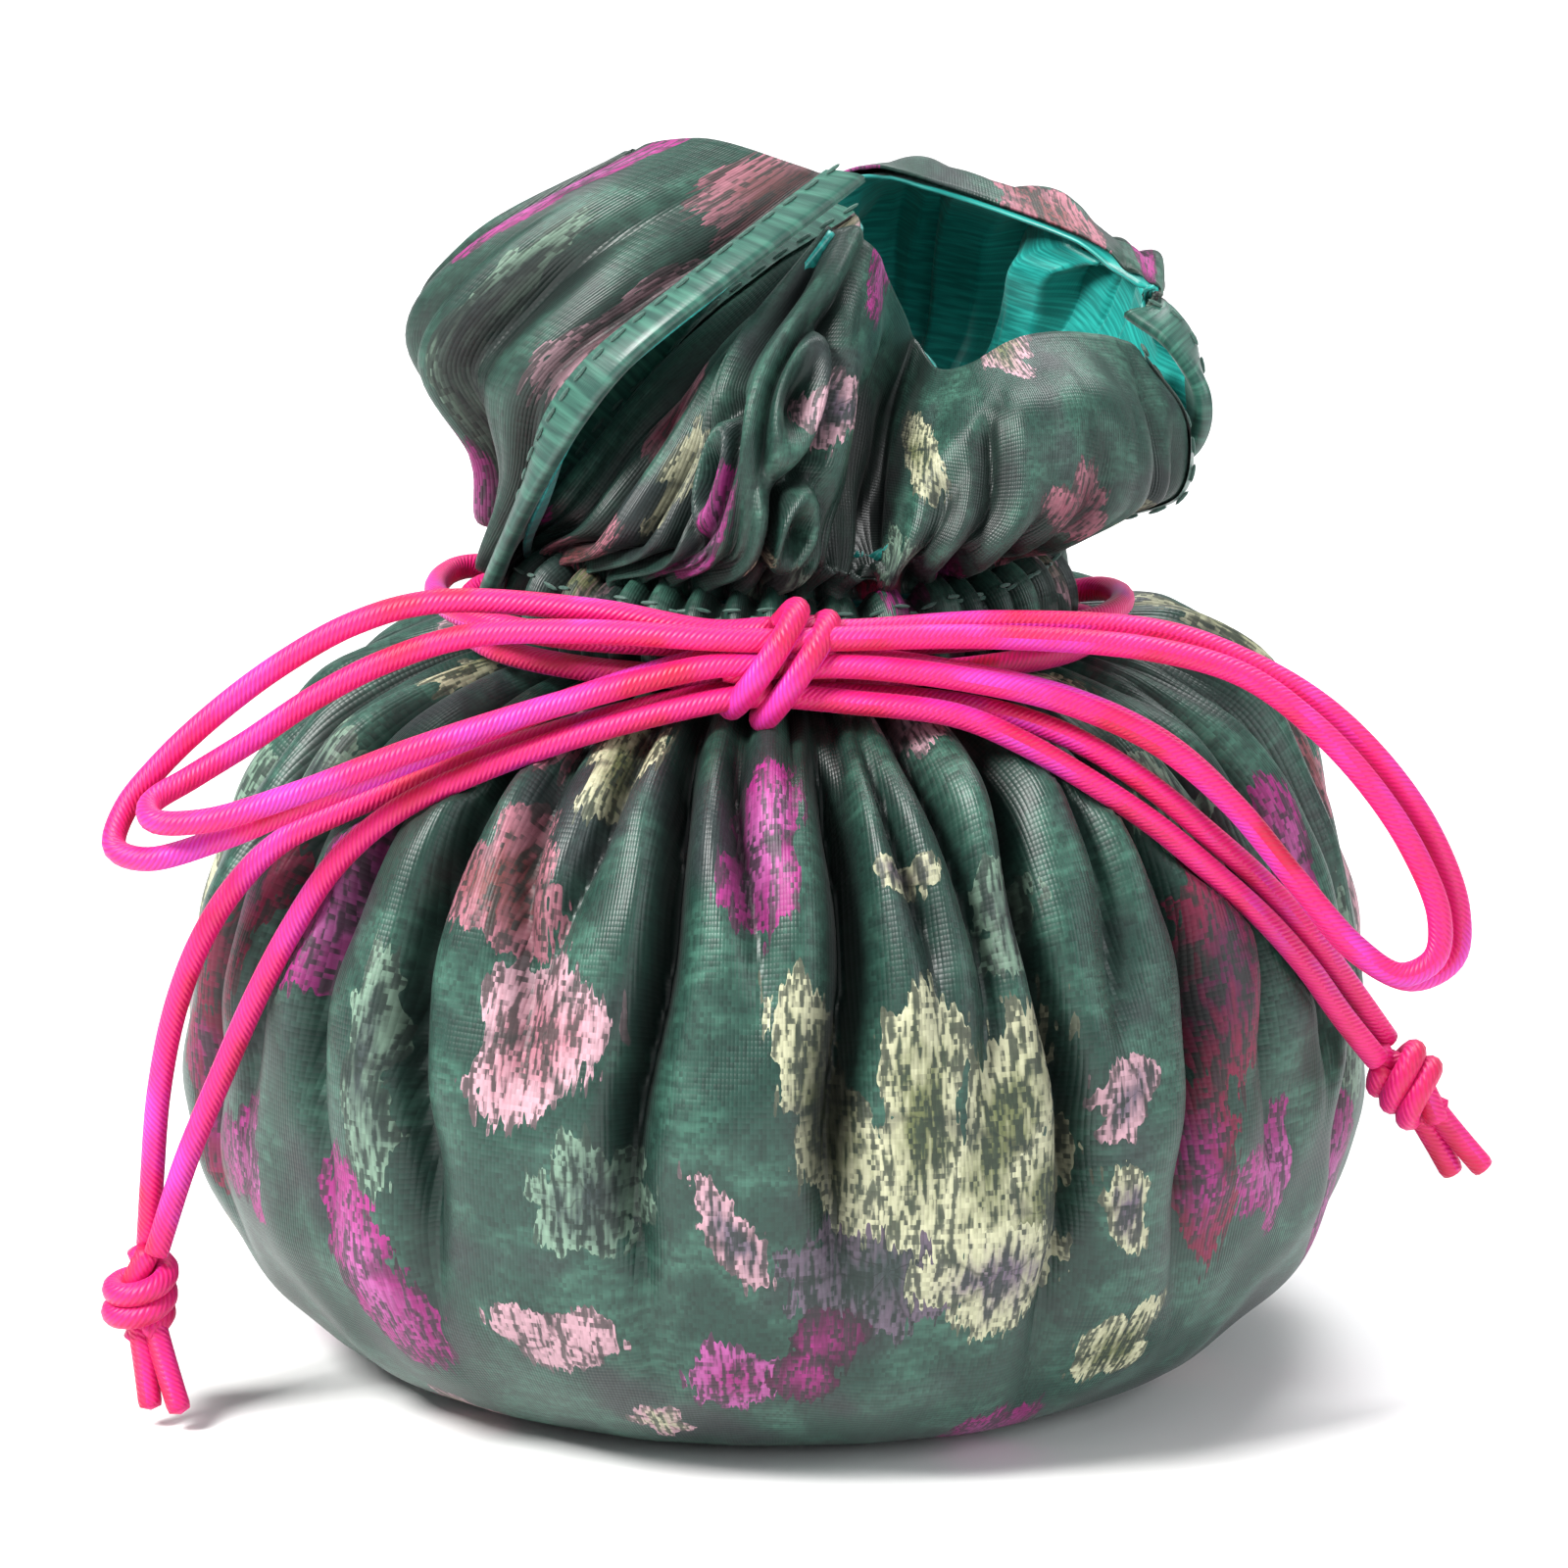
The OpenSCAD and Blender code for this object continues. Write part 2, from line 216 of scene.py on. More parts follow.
@dataclass
class Studio:
    """A pale floor, soft light and a long lens at the height of a seated viewer's eye."""

    aim: Point = (0.0004, 0.0, 0.0518)
    elevation_deg: float = 15.0
    view_width: float = 0.1408
    lens_mm: float = 300.0
    sensor_mm: float = 36.0

    def build(self) -> None:
        """Adds the camera, the lights, the world and the floor."""
        self.add_camera()
        self.add_light("key", (-0.5, -0.36, 0.62), 0.26, 12.0, (1.0, 0.99, 0.97))
        self.add_light("fill", (0.65, -0.5, 0.4), 0.5, 3.0, (0.96, 0.98, 1.0))
        self.add_light("top", (0.12, 0.3, 0.85), 0.45, 8.0, (1.0, 1.0, 1.0))
        self.add_world()
        self.add_floor()
        bpy.context.scene.view_settings.view_transform = "Standard"

    def add_camera(self) -> None:
        """Adds the camera, aimed at the middle of the sack."""
        camera = bpy.data.objects.new("camera", bpy.data.cameras.new("camera"))
        bpy.context.scene.collection.objects.link(camera)
        camera.data.lens = self.lens_mm
        camera.data.sensor_width = self.sensor_mm
        distance = self.lens_mm / self.sensor_mm * self.view_width
        tilt = math.radians(self.elevation_deg)
        direction = Vector((0.0, -math.cos(tilt), math.sin(tilt)))
        camera.location = Vector(self.aim) + distance * direction
        camera.rotation_euler = direction.to_track_quat("Z", "Y").to_euler()
        camera.data.clip_start = 0.05
        bpy.context.scene.camera = camera

    def add_light(self, name: str, place: Point, size: float, watts: float, colour: Colour) -> None:
        """Adds one soft square light aimed at the sack.

        Args:
            name: The light's name.
            place: Where it stands, in metres.
            size: Side of the square, in metres.
            watts: Its strength.
            colour: Its tint.
        """
        lamp = bpy.data.lights.new(name, "AREA")
        lamp.energy = watts
        lamp.size = size
        lamp.color = colour
        light = bpy.data.objects.new(name, lamp)
        light.location = place
        light.rotation_euler = (Vector(place) - Vector(self.aim)).to_track_quat("Z", "Y").to_euler()
        bpy.context.scene.collection.objects.link(light)

    def add_world(self) -> None:
        """Fills the surroundings with an even pale light."""
        world = bpy.data.worlds.new("pale_room")
        world.use_nodes = True
        background = world.node_tree.nodes["Background"]
        background.inputs["Color"].default_value = (0.95, 0.97, 1.0, 1.0)
        background.inputs["Strength"].default_value = 0.4
        bpy.context.scene.world = world

    def add_floor(self) -> None:
        """Adds a wide pale floor that curves up far behind the sack."""
        half = 1.6
        back = np.concatenate([[-half], np.linspace(0.6, 1.6, 24)])
        rise = np.concatenate([[0.0], 1.0 - np.sqrt(np.clip(1.0 - np.linspace(0.0, 1.0, 24) ** 2, 0.0, 1.0))])
        across = np.linspace(-half, half, 2)
        places = np.array([[(x, y, z) for x in across] for y, z in zip(back, rise)])
        floor = grid_cloth("floor", places, np.zeros(places.shape[:2] + (2,)))
        floor.data.materials.append(PaleFloor().build())


# ---------------------------------------------------------------------------------------------
# Node building
# ---------------------------------------------------------------------------------------------


class Graph:
    """Short calls for adding and joining shader nodes."""

    def __init__(self, tree: bpy.types.NodeTree) -> None:
        """Wraps a node tree.

        Args:
            tree: The tree to build in.
        """
        self.tree = tree

    def add(self, kind: str, **settings: object) -> bpy.types.Node:
        """Adds a node and sets its properties.

        Args:
            kind: The node's type name without its "ShaderNode" start.
            settings: Properties by name.

        Returns:
            The node.
        """
        full = kind if kind.startswith("NodeGroup") else "ShaderNode" + kind
        node = self.tree.nodes.new(full)
        for name, value in settings.items():
            setattr(node, name, value)
        return node

    def feed(self, socket: bpy.types.NodeSocket, value: object) -> None:
        """Links a socket, or sets a plain value on it.

        Args:
            socket: The input to feed.
            value: Another node's output, a number, a vector or a colour.
        """
        if isinstance(value, bpy.types.NodeSocket):
            self.tree.links.new(value, socket)
        elif isinstance(value, (tuple, list)) and socket.type == "RGBA" and len(value) == 3:
            socket.default_value = (*value, 1.0)
        else:
            socket.default_value = value

    def math(self, operation: str, *values: object, clamp: bool = False) -> bpy.types.NodeSocket:
        """Adds a Math node.

        Args:
            operation: Its operation.
            values: Its inputs in order.
            clamp: Limits the result to 0..1.

        Returns:
            The result.
        """
        node = self.add("Math", operation=operation, use_clamp=clamp)
        for socket, value in zip(node.inputs, values):
            self.feed(socket, value)
        return node.outputs[0]

    def vector(self, operation: str, *values: object) -> bpy.types.NodeSocket:
        """Adds a Vector Math node.

        Args:
            operation: Its operation.
            values: Its inputs in order.

        Returns:
            The resulting vector.
        """
        node = self.add("VectorMath", operation=operation)
        for socket, value in zip(node.inputs, values):
            self.feed(socket, value)
        return node.outputs["Vector"]

    def parts(self, vector: bpy.types.NodeSocket) -> tuple:
        """Splits a vector.

        Args:
            vector: The vector.

        Returns:
            Its three numbers.
        """
        node = self.add("SeparateXYZ")
        self.feed(node.inputs[0], vector)
        return tuple(node.outputs)

    def joined(self, x: object, y: object, z: object = 0.0) -> bpy.types.NodeSocket:
        """Makes a vector.

        Args:
            x: Its first number.
            y: Its second number.
            z: Its third number.

        Returns:
            The vector.
        """
        node = self.add("CombineXYZ")
        for socket, value in zip(node.inputs, (x, y, z)):
            self.feed(socket, value)
        return node.outputs[0]

    def mix(self, share: object, first: object, second: object, blend: str = "MIX") -> bpy.types.NodeSocket:
        """Mixes two colours.

        Args:
            share: How much of the second colour.
            first: The first colour.
            second: The second colour.
            blend: The blend mode.

        Returns:
            The mixed colour.
        """
        node = self.add("Mix", data_type="RGBA", blend_type=blend, clamp_factor=True)
        self.feed(node.inputs[0], share)
        self.feed(node.inputs[6], first)
        self.feed(node.inputs[7], second)
        return node.outputs[2]

    def span(self, value: object, low: float, high: float, to_low: float = 0.0,
             to_high: float = 1.0) -> bpy.types.NodeSocket:
        """Maps a range smoothly onto another.

        Args:
            value: The number to map.
            low: Start of its range.
            high: End of its range.
            to_low: Result at the start.
            to_high: Result at the end.

        Returns:
            The mapped number.
        """
        node = self.add("MapRange", interpolation_type="SMOOTHSTEP")
        for socket, number in zip(node.inputs, (value, low, high, to_low, to_high)):
            self.feed(socket, number)
        return node.outputs[0]

    def noise(self, vector: object, scale: float, detail: float = 2.0,
              rough: float = 0.5) -> bpy.types.NodeSocket:
        """Adds a Noise texture.

        Args:
            vector: Where to read it.
            scale: Its scale.
            detail: How many finer layers it has.
            rough: How strong those layers are.

        Returns:
            Its number, from 0 to 1.
        """
        node = self.add("TexNoise")
        self.feed(node.inputs["Vector"], vector)
        node.inputs["Scale"].default_value = scale
        node.inputs["Detail"].default_value = detail
        node.inputs["Roughness"].default_value = rough
        return node.outputs["Fac"]

    def group(self, tree: bpy.types.NodeTree, **values: object) -> bpy.types.Node:
        """Places a node group.

        Args:
            tree: The group.
            values: Inputs by name, with underscores for spaces.

        Returns:
            The group's node.
        """
        node = self.add("Group")
        node.node_tree = tree
        for name, value in values.items():
            self.feed(node.inputs[name.replace("_", " ")], value)
        return node


def new_group(name: str, inputs: dict[str, str], outputs: dict[str, str]) -> tuple:
    """Starts a shader node group.

    Args:
        name: The group's name.
        inputs: Input names and their socket types (Float, Vector or Color).
        outputs: Output names and their socket types.

    Returns:
        The group's tree, its graph, its input node's outputs and its output node's inputs.
    """
    tree = bpy.data.node_groups.new(name, "ShaderNodeTree")
    for side, sockets in (("INPUT", inputs), ("OUTPUT", outputs)):
        for socket_name, kind in sockets.items():
            tree.interface.new_socket(socket_name, in_out=side, socket_type="NodeSocket" + kind)
    graph = Graph(tree)
    start = graph.add("NodeGroupInput")
    end = graph.add("NodeGroupOutput")
    return tree, graph, start.outputs, end.inputs


def new_material(name: str) -> tuple:
    """Starts a material.

    Args:
        name: The material's name.

    Returns:
        The material, its graph and its Principled shader.
    """
    material = bpy.data.materials.new(name)
    material.use_nodes = True
    graph = Graph(material.node_tree)
    return material, graph, material.node_tree.nodes["Principled BSDF"]


def linear(red: int, green: int, blue: int) -> Colour:
    """Turns a screen colour of 0..255 into linear light."""
    return tuple(((c / 255 + 0.055) / 1.055) ** 2.4 if c > 10 else c / 3294.6 for c in (red, green, blue))


# ---------------------------------------------------------------------------------------------
# Woven patterns
# ---------------------------------------------------------------------------------------------


class Effect:
    """A shader node group that several materials place, built on its first use."""

    _tree: bpy.types.NodeTree | None = None

    @classmethod
    def tree(cls) -> bpy.types.NodeTree:
        """Gives the effect's node group.

        Returns:
            The group.
        """
        if cls._tree is None:
            cls._tree = cls._build()
        return cls._tree


class Weave(Effect):
    """Threads of a woven cloth: their relief, and a random number for each crossing."""

    @staticmethod
    def _build() -> bpy.types.NodeTree:
        """Builds the group: threads of a given pitch, in 0.1 m units of flat cloth.

        Returns:
            The group.
        """
        tree, g, inp, out = new_group(
            "weave",
            {"Vector": "Vector", "Warp Pitch": "Float", "Weft Pitch": "Float"},
            {"Relief": "Float", "Thread": "Float"},
        )
        u, v, _ = g.parts(inp["Vector"])
        warp = g.math("DIVIDE", u, inp["Warp Pitch"])
        weft = g.math("DIVIDE", v, inp["Weft Pitch"])
        warp_number = g.math("FLOOR", warp)
        weft_number = g.math("FLOOR", weft)
        random = g.add("TexWhiteNoise", noise_dimensions="2D")
        g.feed(random.inputs["Vector"], g.joined(warp_number, weft_number))
        g.feed(out["Thread"], random.outputs["Value"])
        round_warp = g.math("SINE", g.math("MULTIPLY", g.math("FRACT", warp), math.pi))
        round_weft = g.math("SINE", g.math("MULTIPLY", g.math("FRACT", weft), math.pi))
        relief = g.math("ADD", g.math("MULTIPLY", round_warp, 0.5), g.math("MULTIPLY", round_weft, 0.3))
        g.feed(out["Relief"], relief)
        return tree


class Blossom(Effect):
    """A woven flower or leaf: petals round a centre, stretched and turned."""

    @staticmethod
    def _build() -> bpy.types.NodeTree:
        """Builds the group: a share from centre to rim, and lines between the petals.

        Returns:
            The group.
        """
        tree, g, inp, out = new_group(
            "blossom",
            {"Vector": "Vector", "Across": "Float", "Up": "Float", "Turn": "Float", "Width": "Float",
             "Height": "Float", "Petals": "Float", "Notch": "Float"},
            {"Rim": "Float", "Vein": "Float"},
        )
        x, y, _ = g.parts(inp["Vector"])
        dx = g.math("SUBTRACT", x, inp["Across"])
        dy = g.math("SUBTRACT", y, inp["Up"])
        cos_t = g.math("COSINE", inp["Turn"])
        sin_t = g.math("SINE", inp["Turn"])
        along = g.math("ADD", g.math("MULTIPLY", dx, cos_t), g.math("MULTIPLY", dy, sin_t))
        aside = g.math("SUBTRACT", g.math("MULTIPLY", dy, cos_t), g.math("MULTIPLY", dx, sin_t))
        px = g.math("DIVIDE", along, g.math("MULTIPLY", inp["Width"], 0.5))
        py = g.math("DIVIDE", aside, g.math("MULTIPLY", inp["Height"], 0.5))
        radius = g.math("SQRT", g.math("ADD", g.math("MULTIPLY", px, px), g.math("MULTIPLY", py, py)))
        angle = g.math("ARCTAN2", py, px)
        swing = g.math("MULTIPLY", g.math("ADD", angle, math.pi / 2), g.math("MULTIPLY", inp["Petals"], 0.5))
        lobe = g.math("ABSOLUTE", g.math("COSINE", swing))
        edge = g.math("ADD", g.math("SUBTRACT", 1.0, inp["Notch"]), g.math("MULTIPLY", lobe, inp["Notch"]))
        share = g.math("DIVIDE", radius, edge)
        g.feed(out["Rim"], share)
        g.feed(out["Vein"], g.span(lobe, 0.0, 0.35, 1.0, 0.0))
        return tree


@dataclass(frozen=True)
class Motif:
    """One woven flower or leaf of the brocade's repeat, in mm of flat cloth."""

    across: float
    up: float
    width: float
    height: float
    inner: Colour
    outer: Colour
    petals: float = 5.0
    notch: float = 0.3
    turn_deg: float = 0.0


SAGE = linear(120, 128, 82)
CREAM = linear(236, 236, 196)
MAUVE = linear(128, 112, 132)
MAGENTA = linear(190, 40, 146)
ORCHID = linear(222, 108, 192)
PLUM = linear(98, 22, 74)
CRIMSON = linear(150, 20, 72)
BLUSH = linear(240, 190, 204)
ROSE_BROWN = linear(134, 62, 64)
DUSTY_ROSE = linear(208, 132, 150)
SILVER = linear(148, 184, 160)
SLATE = linear(58, 74, 74)

BROCADE_REPEAT_MM = (104.7, 96.0)
BROCADE = (
    Motif(-16, 40, 12, 11, SLATE, SILVER, 6, 0.35, 20),
    Motif(46, 70, 13, 11, SLATE, SILVER, 6, 0.35, -30),
    Motif(9, 33, 19, 13, SLATE, MAUVE, 7, 0.2, 0),
    Motif(4, 48, 10, 24, SAGE, CREAM, 2, 0.45, 16),
    Motif(19, 45, 13, 26, SAGE, CREAM, 2, 0.45, -24),
    Motif(12, 47, 11, 24, SAGE, CREAM, 2, 0.45, -4),
    Motif(22, 38, 11, 17, SAGE, CREAM, 2, 0.4, -30),
    Motif(19, 32, 16, 12, MAUVE, CREAM, 4, 0.3, 0),
    Motif(-1.5, 71, 11, 17, ORCHID, MAGENTA, 2, 0.35, -6),
    Motif(-4, 22, 11, 9, MAGENTA, ORCHID, 2, 0.4, 60),
    Motif(3, 24, 9, 12, MAGENTA, PLUM, 2, 0.4, -30),
    Motif(-38, 30, 11, 22, ORCHID, MAGENTA, 2, 0.4, 20),
    Motif(-46, 61, 9, 16, ORCHID, MAGENTA, 2, 0.35, -12),
    Motif(51, 36, 15, 14, ORCHID, MAGENTA, 3, 0.4, 30),
    Motif(45, 56, 13, 22, PLUM, CRIMSON, 2, 0.35, -14),
    Motif(41, 38, 9, 19, MAGENTA, CRIMSON, 2, 0.4, 10),
    Motif(-27, 66, 14, 15, ROSE_BROWN, DUSTY_ROSE, 3, 0.4, 40),
    Motif(-21, 53, 13, 16, DUSTY_ROSE, BLUSH, 3, 0.2, -30),
    Motif(-20, 26, 14, 8, BLUSH, BLUSH, 3, 0.28, 0),
    Motif(-12, 15, 7, 7, CREAM, BLUSH, 5, 0.4, 0),
    Motif(-4, 37, 5, 12, MAUVE, BLUSH, 2, 0.35, 30),
    Motif(12, 68, 6, 5, MAUVE, CREAM, 3, 0.4, 0),
    Motif(22, 64, 8, 12, SLATE, SILVER, 3, 0.4, -20),
    Motif(31, 47, 6, 9, MAUVE, BLUSH, 3, 0.4, 0),
    Motif(31, 37, 5, 9, MAUVE, CREAM, 2, 0.4, 10),
    Motif(33, 22, 9, 12, SAGE, CREAM, 4, 0.4, -30),
    Motif(-37, 48, 6, 22, SLATE, SILVER, 2, 0.4, 4),
    Motif(24, 9, 12, 16, ORCHID, MAGENTA, 3, 0.4, 0),
    Motif(-40, 8, 12, 10, SAGE, BLUSH, 4, 0.4, 0),
    Motif(20, 85, 14, 10, MAUVE, BLUSH, 4, 0.4, 0),
    Motif(-32, 82, 10, 14, CRIMSON, DUSTY_ROSE, 3, 0.4, 50),
    Motif(-19, 79, 9, 14, SAGE, CREAM, 3, 0.4, -20),
    Motif(46, 88, 10, 13, SAGE, CREAM, 2, 0.4, 20),
)


@dataclass(frozen=True)
class BrocadeFinish:
    """Green satin ground with a damask shadow and flowers in satin floats, with painted shade that darkens it
    in the folds.
    """

    ground: Colour = linear(40, 84, 72)
    ground_light: Colour = linear(84, 142, 122)
    ground_dark: Colour = linear(10, 26, 24)
    # Painted shade: the colour that the folds' valleys are darkened towards.
    crease_shade_colour: Colour = linear(8, 16, 15)
    dusk: Colour = linear(58, 50, 62)
    roughness: float = 0.41

    def build(self) -> bpy.types.Material:
        """Builds the brocade material.

        Returns:
            The material.
        """
        material, g, shader = new_material("brocade")
        flat = g.add("UVMap", uv_map=CLOTH_UV).outputs[0]
        weave = g.group(Weave.tree(), Vector=flat, Warp_Pitch=0.0034, Weft_Pitch=0.0046)
        thread = weave.outputs["Thread"]
        fine = g.noise(g.vector("MULTIPLY", flat, (210.0, 36.0, 1.0)), 1.0, 1.0, 0.5)
        coarse = g.noise(g.vector("MULTIPLY", flat, (92.0, 12.0, 1.0)), 1.0, 1.0)
        streak = g.math("ADD", g.math("MULTIPLY", fine, 0.55), g.math("MULTIPLY", coarse, 0.45))
        fray = g.add("TexNoise")
        g.feed(fray.inputs["Vector"], flat)
        fray.inputs["Scale"].default_value = 22.0
        fray.inputs["Detail"].default_value = 3.0
        bent = g.vector("MULTIPLY_ADD", g.vector("SUBTRACT", fray.outputs["Color"], (0.5, 0.5, 0.5)),
                        (0.05, 0.05, 0.0), flat)
        width, height = (n * CLOTH_UNIT for n in BROCADE_REPEAT_MM)
        u, v, _ = g.parts(bent)
        tile = g.joined(g.math("WRAP", u, width / 2, -width / 2), g.math("WRAP", v, height, 0.0))
        colour = self._ground(g, flat, thread, streak)
        cover = 0.0
        drift = g.math("MULTIPLY", g.math("SUBTRACT", streak, 0.5), 2.2)
        ragged = g.math("MULTIPLY", g.math("SUBTRACT", streak, 0.5), 1.2)
        for motif in BROCADE:
            node = g.group(
                Blossom.tree(), Vector=tile, Across=motif.across * CLOTH_UNIT, Up=motif.up * CLOTH_UNIT,
                Turn=math.radians(motif.turn_deg), Width=motif.width * CLOTH_UNIT,
                Height=motif.height * CLOTH_UNIT, Petals=motif.petals, Notch=motif.notch,
            )
            mask = g.math("LESS_THAN", g.math("ADD", node.outputs["Rim"], ragged), 1.0)
            blend = g.span(g.math("ADD", node.outputs["Rim"], drift), 0.1, 1.0)
            petal = g.mix(blend, motif.inner, motif.outer)
            petal = g.mix(g.math("MULTIPLY", node.outputs["Vein"], 0.6), petal, self.ground_dark)
            colour = g.mix(mask, colour, petal)
            cover = g.math("MAXIMUM", cover, mask)
        shown = g.math("ADD", g.math("MULTIPLY", thread, 0.14), g.math("MULTIPLY", streak, 1.1))
        gap = g.math("MULTIPLY", g.span(shown, 0.54, 0.65, 1.0, 0.0), g.math("MULTIPLY", cover, 0.8))
        colour = g.mix(gap, colour, g.mix(0.35, self.ground_dark, self.ground))
        shade = g.math("ADD", 0.4, g.math("MULTIPLY", thread, 0.2))
        colour = g.mix(1.0, colour, g.joined(shade, shade, shade), "MULTIPLY")
        # Painted shade: darkens the colour in the folds' valleys, by the share stored with each piece.
        fold = g.add("Attribute", attribute_name=CREASE_SHADE_ATTR).outputs["Fac"]
        colour = g.mix(g.math("MULTIPLY", fold, 0.85), colour, self.crease_shade_colour)
        g.feed(shader.inputs["Base Color"], colour)
        g.feed(shader.inputs["Roughness"], g.math("ADD", self.roughness, g.math("MULTIPLY", cover, 0.12)))
        bump = g.add("Bump")
        g.feed(bump.inputs["Height"], weave.outputs["Relief"])
        bump.inputs["Distance"].default_value = 0.00009
        bump.inputs["Strength"].default_value = 0.5
        g.feed(shader.inputs["Normal"], bump.outputs[0])
        shader.inputs["Sheen Weight"].default_value = 0.05
        shader.inputs["Sheen Roughness"].default_value = 0.4
        shader.inputs["Specular IOR Level"].default_value = 0.45
        return material

    def _ground(self, g: Graph, flat: bpy.types.NodeSocket, thread: bpy.types.NodeSocket,
                streak: bpy.types.NodeSocket) -> bpy.types.NodeSocket:
        """Colours the satin ground: a soft tonal figure and fine slubs.

        Args:
            g: The material's graph.
            flat: Position on the flat cloth.
            thread: A random number for each thread crossing.
            streak: Short streaks along the warp.

        Returns:
            The ground's colour.
        """
        figure = g.span(g.noise(flat, 11.0, 3.0, 0.55), 0.44, 0.58)
        slub = g.noise(g.vector("MULTIPLY", flat, (30.0, 110.0, 1.0)), 1.0, 2.0)
        light = g.math("MULTIPLY", figure, g.span(slub, 0.3, 0.75, 0.2, 0.85))
        colour = g.mix(light, self.ground, self.ground_light)
        dusk = g.span(g.noise(g.vector("ADD", flat, (3.7, 1.9, 0.0)), 7.0, 2.0), 0.52, 0.66, 0.0, 0.6)
        colour = g.mix(dusk, colour, self.dusk)
        spot = g.math("MULTIPLY", g.math("GREATER_THAN", thread, 0.8), 0.45)
        colour = g.mix(spot, colour, self.ground_dark)
        return g.mix(g.span(streak, 0.58, 0.72, 0.0, 0.4), colour, self.ground_dark)


@dataclass(frozen=True)
class SatinFinish:
    """Smooth lustrous cloth with faint slubs along the weft, painted lighter in colour as a sheen."""

    name: str
    colour: Colour
    # Lighter colour painted along the slubs as sheen.
    light: Colour
    roughness: float = 0.3

    def build(self) -> bpy.types.Material:
        """Builds the satin material.

        Returns:
            The material.
        """
        material, g, shader = new_material(self.name)
        flat = g.add("UVMap", uv_map=CLOTH_UV).outputs[0]
        weave = g.group(Weave.tree(), Vector=flat, Warp_Pitch=0.002, Weft_Pitch=0.002)
        slub = g.noise(g.vector("MULTIPLY", flat, (12.0, 220.0, 1.0)), 1.0, 2.0)
        # Slub streaks are real; the lighter colour laid along them is painted sheen.
        lustre = g.span(slub, 0.35, 0.75, 0.0, 0.7)
        g.feed(shader.inputs["Base Color"], g.mix(lustre, self.colour, self.light))
        g.feed(shader.inputs["Roughness"], g.math("ADD", self.roughness, g.math("MULTIPLY", slub, 0.1)))
        bump = g.add("Bump")
        g.feed(bump.inputs["Height"], g.math("ADD", g.math("MULTIPLY", weave.outputs["Relief"], 0.4), slub))
        bump.inputs["Distance"].default_value = 0.00006
        bump.inputs["Strength"].default_value = 0.4
        g.feed(shader.inputs["Normal"], bump.outputs[0])
        shader.inputs["Specular IOR Level"].default_value = 0.6
        shader.inputs["Sheen Weight"].default_value = 0.2
        return material


@dataclass(frozen=True)
class CordFinish:
    """Satin-wrapped cord: fine threads wound steeply round it, with a lustre, and crimson shade painted in
    the grooves between the threads and in random patches.
    """

    colour: Colour = linear(218, 14, 112)
    # Painted crimson shade.
    crimson_shade: Colour = linear(186, 4, 52)
    light: Colour = linear(198, 44, 168)
    roughness: float = 0.4

    def build(self) -> bpy.types.Material:
        """Builds the cord material; its UV map runs along the cord and round it, in 0.1 m.

        Returns:
            The material.
        """
        material, g, shader = new_material("cord_satin")
        along, around, _ = g.parts(g.add("UVMap", uv_map=CORD_UV).outputs[0])
        wind = g.math("ADD", g.math("MULTIPLY", along, 190.0), g.math("MULTIPLY", around, 150.0))
        ridge = g.math("SINE", g.math("MULTIPLY", wind, 2 * math.pi))
        # Random patches: the lighter ones are a real purple tint, the darker ones painted crimson shade.
        tint_and_shade_patch = g.noise(g.joined(g.math("MULTIPLY", along, 7.0), g.math("MULTIPLY", around, 14.0)), 1.0, 3.0)
        colour = g.mix(g.span(tint_and_shade_patch, 0.5, 0.66), self.colour, self.light)
        # Painted crimson shade, in random patches.
        colour = g.mix(g.span(tint_and_shade_patch, 0.36, 0.48, 0.9, 0.0), colour, self.crimson_shade)
        # Painted shade in the grooves between the wound threads.
        colour = g.mix(g.span(ridge, -1.0, 0.2, 0.45, 0.0), colour, self.crimson_shade)
        g.feed(shader.inputs["Base Color"], colour)
        g.feed(shader.inputs["Roughness"], g.math("ADD", self.roughness, g.math("MULTIPLY", tint_and_shade_patch, 0.15)))
        bump = g.add("Bump")
        g.feed(bump.inputs["Height"], ridge)
        bump.inputs["Distance"].default_value = 0.00005
        bump.inputs["Strength"].default_value = 0.5
        g.feed(shader.inputs["Normal"], bump.outputs[0])
        shader.inputs["Sheen Weight"].default_value = 0.12
        shader.inputs["Sheen Tint"].default_value = (1.0, 0.45, 0.85, 1.0)
        shader.inputs["Specular IOR Level"].default_value = 0.45
        return material


@dataclass(frozen=True)
class ThreadFinish:
    """Plain twisted sewing thread."""

    colour: Colour = linear(24, 60, 52)

    def build(self) -> bpy.types.Material:
        """Builds the thread material.

        Returns:
            The material.
        """
        material, g, shader = new_material("sewing_thread")
        place = g.add("TexCoord").outputs["Object"]
        ply = g.noise(place, 4000.0, 1.0)
        g.feed(shader.inputs["Base Color"], g.mix(ply, self.colour, linear(64, 104, 92)))
        shader.inputs["Roughness"].default_value = 0.6
        shader.inputs["Sheen Weight"].default_value = 0.3
        return material


@dataclass(frozen=True)
class PaleFloor:
    """Plain pale floor with the faintest unevenness."""

    def build(self) -> bpy.types.Material:
        """Builds the floor material.

        Returns:
            The material.
        """
        material, g, shader = new_material("pale_floor")
        place = g.add("TexCoord").outputs["Object"]
        tone = g.noise(place, 6.0, 2.0)
        g.feed(shader.inputs["Base Color"], g.mix(tone, (0.86, 0.86, 0.86), (0.9, 0.9, 0.9)))
        shader.inputs["Roughness"].default_value = 0.7
        return material


